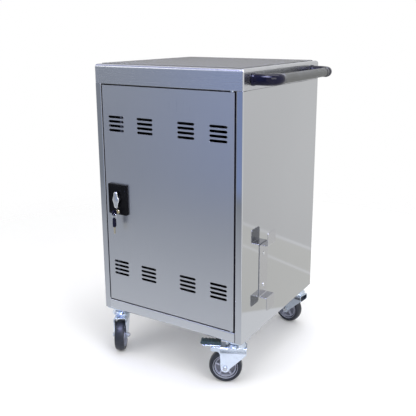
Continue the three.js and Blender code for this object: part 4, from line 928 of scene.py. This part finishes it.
class CART_OT_lock(bpy.types.Operator):
    """Door lock: plate, turn grip, cylinder, keys, rods and pinion, and the rear cam lock"""
    bl_idname = "cart.lock"
    bl_label = "Lock"

    def execute(self, context):
        x, _, z = JOINTS["handle_turn"]["pos_m"]
        key_z = JOINTS["key_turn"]["pos_m"][2]
        self.plate(x, z)
        self.grip(x, z)
        self.cylinder(x, key_z)
        self.key(x, key_z)
        self.spare(x)
        self.rear()
        dark = ("upper_lock_rod", "lower_lock_rod", "upper_rod_guide", "lower_rod_guide")
        bright = ("lock_pinion", "hinge_pin_upper", "hinge_pin_lower")
        for name in dark + bright:
            look = "rod" if name in dark else "zinc"
            soften(f"{name}_finish", name, look, detail().edge * 0.6)
        return {"FINISHED"}

    def plate(self, x, z):
        """Moulded plate: nested rounded rectangles as a raised frame, round a sunk face that has a ring."""
        low, high = box("lock_housing")
        half, deep = (high - low)[[0, 2]] / 2 / MM, (high[1] - low[1]) / MM
        stations = ((0, 0), (0, deep - 1.4), (0.4, deep - 0.5), (1.4, deep), (4.6, deep), (5.4, deep - 0.4),
                    (5.8, deep - 1.2), (6.2, deep - SUNK), (6.4, 0))
        rings = [level(oblong(*(half - inset), max(3.2 - 0.3 * inset, 1)), height)
                 for inset, height in stations]
        border = grid(mm(rings), close_u=True, close_v=True)
        w, h = (half - 6) * MM
        face = plate(oblong(w, h, 1.4 * MM), 0, (deep - SUNK) * MM, 0.1 * MM)
        rim = np.array([(17, 0), (17, 0.8), (16.6, 1.2), (15.4, 1.2), (15, 0.8), (15, 0), (17, 0)])
        ring = put(lathe(mm(rim - (0, SUNK)), 72), (0, 0, high[1] - low[1]))
        show("lock_plate", put(join(border, face, ring), (x, high[1], z), *FORWARD), "door", "plate",
             ["lock_housing"])

    def grip(self, x, z):
        """Waisted grip: rounded sections from end to end, widest over a flared hub, with a spindle behind."""
        low, high = box("turn_handle")
        reach, stations, sides, square = (high[2] - low[2]) / 2, 65, 48, 0.75
        s = np.sin(np.linspace(-np.pi / 2, np.pi / 2, stations))
        blunt = np.sqrt(np.clip(1 - np.abs(s) ** 9, 0, 1)) + 0.004
        waist, swell, swell_run = 7.4, 5.4, 10.5 * MM
        thin, crown, crown_run = 4.3, 0.5, 12 * MM
        wide = mm(waist + swell * np.exp(-(s * reach / swell_run) ** 2)) * blunt
        thick = mm(thin + crown * np.exp(-(s * reach / crown_run) ** 2)) * blunt
        section = circle(1.0, sides)
        across, deep = (np.sign(section) * np.abs(section) ** square).T
        points = np.stack([wide[:, None] * across, thick[:, None] * deep,
                           np.broadcast_to(s[:, None] * reach, (stations, sides))], -1)
        handle = put(grid(points, close_v=True), (x, low[1] + 4.8 * MM, z))
        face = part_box("lock_housing")[0][1]
        neck = [(0, 0.2 - SUNK), (9.2, 0.2 - SUNK), (9.8, 0.8 - SUNK), (9.8, 1.5), (9.2, 2.1), (8.6, 3.4),
                (8.8, 6), (0, 6)]
        hub = put(lathe(mm(neck), 72), (x, face, z), *FORWARD)
        shaft, end = 5 * MM, high[1] - face
        spindle = put(lathe([(0, 0), (shaft, 0), (shaft, end), (0, end)], 48), (x, face, z), *ALONG_Y)
        show("turn_grip", join(handle, hub, spindle), "lock_handle", "chrome", ["turn_handle"],
             smooth=50)

    def keyway(self, name, half, place, axes, body):
        """Keyway: a thin dark rounded plate on the face of a lock, painted shade in place of the slot."""
        slot = plate(oblong(*mm(half), 0.6 * MM), 0, 0.12 * MM, 0.04 * MM)
        show(name, put(slot, place, *axes), body, "socket")

    def cylinder(self, x, z):
        """Key cylinder: a turned barrel with a sunk face and a keyway."""
        low, high = box("lock_cylinder")
        r, run, sunk = (high[2] - low[2]) / 2, high[1] - low[1], 0.6 * MM
        step = [(0, 0), (r, 0), (r, run - 0.9 * MM), (r - 0.8 * MM, run), (r - 2.1 * MM, run),
                (r - 2.4 * MM, run - sunk), (0, run - sunk)]
        show("cylinder", put(lathe(step), (x, high[1], z), *FORWARD), "key_barrel", "brass",
             ["lock_cylinder"])
        self.keyway("keyway", (1.5, 4.2), (x, low[1] + sunk, z), FORWARD, "key_barrel")

    def key(self, x, z):
        """Key standing in the cylinder: a turned bow with a hole, a neck and a blade."""
        place = (x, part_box("key")[0][1] + 9 * MM, z)
        bow = [(3.8, -1.8), (4.1, -2.3), (4.7, -2.5), (8.2, -2.5), (8.8, -2.2), (9, -1.6), (9, 1.6),
               (8.8, 2.2), (8.2, 2.5), (4.7, 2.5), (4.1, 2.3), (3.8, 1.8), (3.8, -1.8)]
        neck = fillet(mm([(12.5, 4.4), (7.5, 5.4), (7.5, -5.4), (12.5, -4.4)]), 0.8 * MM)
        head = join(lathe(mm(bow)), plate(neck, -2 * MM, 2 * MM, 0.6 * MM))
        show("key_bow", put(head, place, *ALONG_X), "key_barrel", "gloss", ["key"])
        outline = fillet(mm([(28, 3.5), (11, 3.5), (11, -3.5), (28, -3.5)]), 0.4 * MM)
        blade = plate(outline, -1.1 * MM, 1.1 * MM, 0.2 * MM)
        show("key_blade", put(blade, place, *ALONG_X), "key_barrel", "brass")

    def spare(self, x):
        """Ring of round wire, and the spare key on it: a head with a hole, and a toothed blade."""
        low, high = box("key_ring")
        wire = 0.9 * MM
        section = circle(wire, 16, ((high[2] - low[2]) / 2 - wire, 0))
        show("split_ring", put(lathe([*section, section[0]], 72), (low + high) / 2, *ALONG_Y), "spare_keys",
             "chrome", ["key_ring"], smooth=60)
        low, high = box("spare_key")
        place = (x, (low[1] + high[1]) / 2, high[2])
        outline = fillet(mm([(6.4, 0), (-6.4, 0), (-7, -32), (7, -32)]), mm((5.4, 5.4, 6, 6)), 12)
        head = holed(outline, mm((0, -3.75)), 1.88 * MM, -2.5 * MM, 2.5 * MM, 0.8 * MM)
        show("spare_head", put(head, place, *ALONG_X), "spare_keys", "gloss", ["spare_key"])
        teeth = [(3.4, -30), (-3.4, -30), (-3.4, -51), (-1.2, -54), (1.4, -54), (3.4, -51.6), (2.1, -49.6),
                 (2.1, -48), (3.4, -46.4), (3.4, -45), (1.7, -43.2), (1.7, -41.4), (3.2, -39.8), (2.4, -38),
                 (3.4, -36)]
        blade = plate(mm(teeth), -1.1 * MM, 1.1 * MM, 0.2 * MM)
        show("spare_blade", put(blade, place, *ALONG_X), "spare_keys", "brass")

    def rear(self):
        """Rear cam lock: a chamfered head with a sunk face and a keyway, its barrel and the cam."""
        low, high = box("rear_cam_lock")
        x, _, z = JOINTS["rear_cam_turn"]["pos_m"]
        run, sunk = (high[1] - low[1]) / MM, 0.5
        head = [(0, 0), (9.5, 0), (9.5, run - 3), (13, run - 3), (13, run - 1.2), (11.8, run), (9.2, run),
                (8.8, run - sunk), (0, run - sunk)]
        arm = fillet(mm([(8, 8), (-8, 8), (-8, -40), (8, -40)]), 7.4 * MM, 12)
        lock = join(lathe(mm(head), 72), plate(arm, 0, 2.5 * MM, 0.5 * MM))
        show("cam_lock", put(lock, (x, low[1], z), *ALONG_Y), "rear_lock", "chrome", ["rear_cam_lock"])
        self.keyway("cam_keyway", (1.3, 4), (x, high[1] - sunk * MM, z), ALONG_Y, "rear_lock")


class CART_OT_casters(bpy.types.Operator):
    """Four swivel casters: plates with bolts, forks, axles, hubs, tyres and brake pedals"""
    bl_idname = "cart.casters"
    bl_label = "Casters"

    def execute(self, context):
        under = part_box("base_pan")[0][2]
        for name in CASTERS:
            roll = JOINTS[f"{name}_roll"]
            y = np.array(roll["axis"], float)
            x = np.array([y[1], -y[0], 0.0])
            post = np.array([*JOINTS[f"{name}_swivel"]["pos_m"][:2], under])
            wheel = (np.array(roll["pos_m"], float), -x, UP, y)
            braked = f"{name}_brake" in JOINTS
            self.plate(name, post)
            self.fork(name, post, x, y, braked)
            self.axle(name, wheel)
            self.wheel(name, wheel)
            if braked:
                soften(f"{name}_lever_finish", f"{name}_brake_lever", "zinc", 0.7 * MM)
                soften(f"{name}_tread", f"{name}_brake_pedal", "pedal", 0.9 * MM, 3)
        return {"FINISHED"}

    def plate(self, name, post):
        """Top plate with four bolts and washers, the pressed upper race and the kingpin's nut."""
        half, bolt_reach = 37 * MM, 27 * MM
        sheet = plate(oblong(half, half, 8 * MM, 10), -3.3 * MM, -0.3 * MM, 0.6 * MM)
        cup = [(0, -3.2), (27.6, -3.2), (27.6, -4.4), (26.6, -6), (26.6, -10.5), (25.6, -13), (23.6, -15),
               (20, -15.3), (0, -15.3)]
        pin = lathe(mm([(0, -37), (6, -37), (6, -39), (5, -40), (0, -40)]), 36)
        nut = hexagon(10 * MM, -37.6 * MM, -32.6 * MM, 0.8 * MM)
        show(f"{name}_top_plate", put(join(sheet, lathe(mm(cup), 72), pin, nut), post), "cabinet", "zinc",
             [f"{name}_caster_plate"])
        washer = [(0, -3.3), (8.4, -3.3), (8.6, -3.6), (8.6, -4.3), (8.2, -4.6), (0, -4.6)]
        bolt = join(lathe(mm(washer), 48), hexagon(detail().bolt, -7.6 * MM, -4.6 * MM, 0.6 * MM))
        spots = [(i * bolt_reach, j * bolt_reach, 0) for i in (-1, 1) for j in (-1, 1)]
        show(f"{name}_bolts", join(*(put(bolt, post + np.array(spot)) for spot in spots)), "cabinet", "bolt")

    def fork(self, name, post, x, y, braked):
        """Pressed fork: a channel with round bends, two tapering legs, pedal ears and a domed lower race."""
        wide, sheet, heel_x, toe_x, skirt = 22, 3.5, -34, 48, -46
        bottom = arc((32, -97.8), 14, 190, 360, 30)
        ear = [*arc((61, -54.7), 13, 180, 90, 14), *arc((71.5, -35.2), 6.5, -90, 90, 14), (48.5, -28.7)]
        heel = [(toe_x, -36), (heel_x, -36), (heel_x, -45), *arc((-26, -47), 8, 180, 222, 6)]
        leg = mm([*heel, *bottom, *(ear if braked else [(toe_x, -60)])])
        sides = [put(plate(leg, low * MM, (low + sheet) * MM, 0.6 * MM), post, x, UP, -y)
                 for low in (-wide, wide - sheet)]
        left, right, outer = (-15, -35.7), (15, -35.7), 7
        inner, within = outer - sheet, wide - sheet
        section = [(-wide, skirt), *arc(left, outer, 180, 90, 10), *arc(right, outer, 90, 0, 10),
                   (wide, skirt), (within, skirt), *arc(right, inner, 0, 90, 10),
                   *arc(left, inner, 90, 180, 10), (-within, skirt)]
        channel = put(plate(mm(section), heel_x * MM, toe_x * MM, 0.4 * MM), post, y, UP, x)
        cap = [(0, -15.7), (19, -15.7), (23.5, -16.6), (26, -18.6), (28, -21.5), (31, -23), (32, -24.6),
               (32, -27.6), (31.2, -29), (0, -29)]
        dome = put(lathe(mm(cap), 72), post)
        show(f"{name}_fork_finish", join(*sides, channel, dome), f"{name}_swivel", "zinc", [f"{name}_fork"])

    def axle(self, name, wheel):
        """Axle bolt: hexagon head and nut outside the legs, and the thread's end past the nut."""
        near, far = 22.3 * MM, 27.8 * MM
        head, nut = (hexagon(7.5 * MM, low, high, 0.8 * MM) for low, high in ((-far, -near), (near, far)))
        crest = [(3.45 + 0.5 * (k % 2), 27.6 + 0.35 * k) for k in range(9)]
        thread = lathe(mm([(0, -25), (4, -25), (4, 25), *crest, (2.6, 31), (0, 31)]), 36)
        show(f"{name}_axle_finish", put(join(head, nut, thread), *wheel), f"{name}_swivel", "bolt",
             [f"{name}_axle"])

    def wheel(self, name, wheel):
        """Solid tyre with a moulded line on each wall, on a hub with a rolled rim, spokes and a boss."""
        size, shoulder, wide = wheel[0][2] / MM, 45.8, 15.8
        turn = np.linspace(0.1, np.pi / 2, 24)[:-1]
        tread = zip(shoulder + (size - shoulder) * np.sin(turn), wide * np.cos(turn) ** 0.8)
        tyre = self.mirrored([(39.4, 13.6), (40.6, 15), (42.5, wide), (44.4, 16), (44.8, 15.5), (45.4, 15.5),
                              (shoulder, wide), *tread, (size, 0)])
        bead = self.mirrored([(39.2, 12), (39.2, 15), (38.8, 15.6), (38.1, 15.4), (37.8, 14.6), (37.8, 3)])
        rim = self.mirrored([(34, 3), (33.9, 12.6), (33.3, 13.4), (32.3, 13.2), (31.6, 12.2), (31, 3)])
        seat = self.mirrored([(38.3, 9), (37.9, 9.4), (34, 9.4), (33.4, 9)])
        boss = self.mirrored([(11.6, 3), (11, 6), (10.8, 16.6), (10.2, 17.4), (8.4, 17.5), (7.6, 16.6),
                              (4.4, 16.6)])
        # The recessed web takes the darker copy of the hub's material, painted shade
        web = self.mirrored([(34, 4), (9.5, 4)])
        spoke = fillet(mm([(2.6, 9), (2.2, 33), (-2.2, 33), (-2.6, 9)]), 0.5 * MM, 3)
        arm = plate(spoke, -11 * MM, 11 * MM, 0.7 * MM)
        arms = [put(arm, (0, 0, 0), (c, s, 0), (-s, c, 0)) for c, s in circle(1.0, 5)]
        for piece, part, look, nodes, slot, smooth in (
                ("hub", join(bead, rim, boss, *arms), "hub", [f"{name}_hub"], "hub_plastic", SMOOTH),
                ("tyre", join(tyre, seat), "tyre", [f"{name}_tyre"], "tyre_rubber", 40),
                ("web", web, "web", (), "hub_plastic", SMOOTH)):
            show(f"{name}_{piece}_finish", put(part, *wheel), f"{name}_wheel", look, nodes, smooth)

    def mirrored(self, half):
        """A ring turned from half a profile and its mirror image across the wheel's middle."""
        back = [(r, -h) for r, h in half[::-1]]
        return lathe(mm([*half, *back, half[0]]), detail().facets)


class CART_OT_interior(bpy.types.Operator):
    """Divider racks, socket strips, mains inlet and the cleat's screws"""
    bl_idname = "cart.interior"
    bl_label = "Interior"

    def execute(self, context):
        for name in ("upper_divider_rack", "lower_divider_rack"):
            soften(f"{name}_finish", name, "rack", 0.6 * MM)
        for name in ("power_strip_left", "power_strip_right"):
            self.strip(name)
        self.inlet()
        self.screws()
        return {"FINISHED"}

    def row(self, name, part, places, axes, look):
        """Copies of a part at several places, as one piece of the cabinet."""
        show(name, join(*(put(part, place, *axes) for place in places)), "cabinet", look)

    def strip(self, name):
        """Socket strip with ten inserts: on each, two blade openings and a round hole drawn as thin dark
        plates, painted shade in place of the openings.
        """
        soften(f"{name}_finish", name, "socket", 0.8 * MM)
        low, high = box(name)
        count, recess, half = 10, 2.5 * MM, 16.6 * MM
        face, proud, rim = 1.2 * MM, 1.3 * MM, 0.03 * MM
        insert = plate(oblong(half, half, 3 * MM), 0, face, 0.4 * MM)
        # Dark plates standing proud of each insert paint the shade of the blade openings and the hole
        blade = plate(oblong(1.2 * MM, 4 * MM, 0.3 * MM, 3), face, proud, rim)
        pin = plate(circle(2.5 * MM, 24), face, proud, rim)
        hole_shades = join(*(put(blade, mm((side * 6.3, 3, 0))) for side in (-1, 1)), put(pin, mm((0, -7, 0))))
        pitch = (high[2] - low[2]) / count
        x, y = (low[0] + high[0]) / 2, high[1] - recess
        places = [(x, y, low[2] + (k + 0.5) * pitch) for k in range(count)]
        self.row(f"{name}_inserts", insert, places, ALONG_Y, "insert")
        self.row(f"{name}_slots", hole_shades, places, ALONG_Y, "socket")

    def inlet(self):
        """Mains inlet with bright sleeves on its three blades."""
        soften("inlet_finish", "power_inlet", "socket", 0.6 * MM)
        low, high = box("power_inlet")
        _, y, z = (low + high) / 2
        blade = plate(oblong(1.1 * MM, 2.1 * MM, 0.3 * MM, 3), 0, 12 * MM, 0.3 * MM)
        foot = low[0] + 4.9 * MM
        places = [(foot, y + a * MM, z + b * MM) for a, b in ((-7, -3.5), (0, 3.5), (7, -3.5))]
        self.row("inlet_blades", blade, places, ALONG_X, "brass")

    def screws(self):
        """Two button screws through the cleat's web."""
        low, high = box("cord_cleat")
        _, y, z = (low + high) / 2
        head = button_screw(detail().screw, 2.6 * MM, 1.7 * MM)
        places = [(low[0] + 2 * MM, y, z + side * 52 * MM) for side in (-1, 1)]
        self.row("cleat_screws", head, places, ALONG_X, "chrome")


class CART_PT_panel(bpy.types.Panel):
    """Sidebar panel that lists the pieces and their sizes"""
    bl_label = "Charging Cart"
    bl_idname = "CART_PT_panel"
    bl_space_type = "VIEW_3D"
    bl_region_type = "UI"
    bl_category = "Cart"

    def draw(self, context):
        for piece in PIECES:
            self.layout.operator(piece.bl_idname)
        for group in (finish(), detail(), stage()):
            for key in group.__annotations__:
                self.layout.prop(group, key)


PIECES = (CART_OT_stage, CART_OT_cabinet, CART_OT_handle, CART_OT_lock, CART_OT_casters, CART_OT_interior)
CLASSES = (CartFinish, CartDetail, CartStage, *PIECES, CART_PT_panel)


def register():
    for kind in CLASSES:
        bpy.utils.register_class(kind)
    bpy.types.Scene.cart_finish = PointerProperty(type=CartFinish)
    bpy.types.Scene.cart_detail = PointerProperty(type=CartDetail)
    bpy.types.Scene.cart_stage = PointerProperty(type=CartStage)


def unregister():
    del bpy.types.Scene.cart_stage
    del bpy.types.Scene.cart_detail
    del bpy.types.Scene.cart_finish
    for kind in reversed(CLASSES):
        bpy.utils.unregister_class(kind)


def main():
    register()
    make_looks()
    for piece in PIECES:
        area, action = piece.bl_idname.split(".")
        getattr(getattr(bpy.ops, area), action)()


if __name__ == "__main__":
    main()
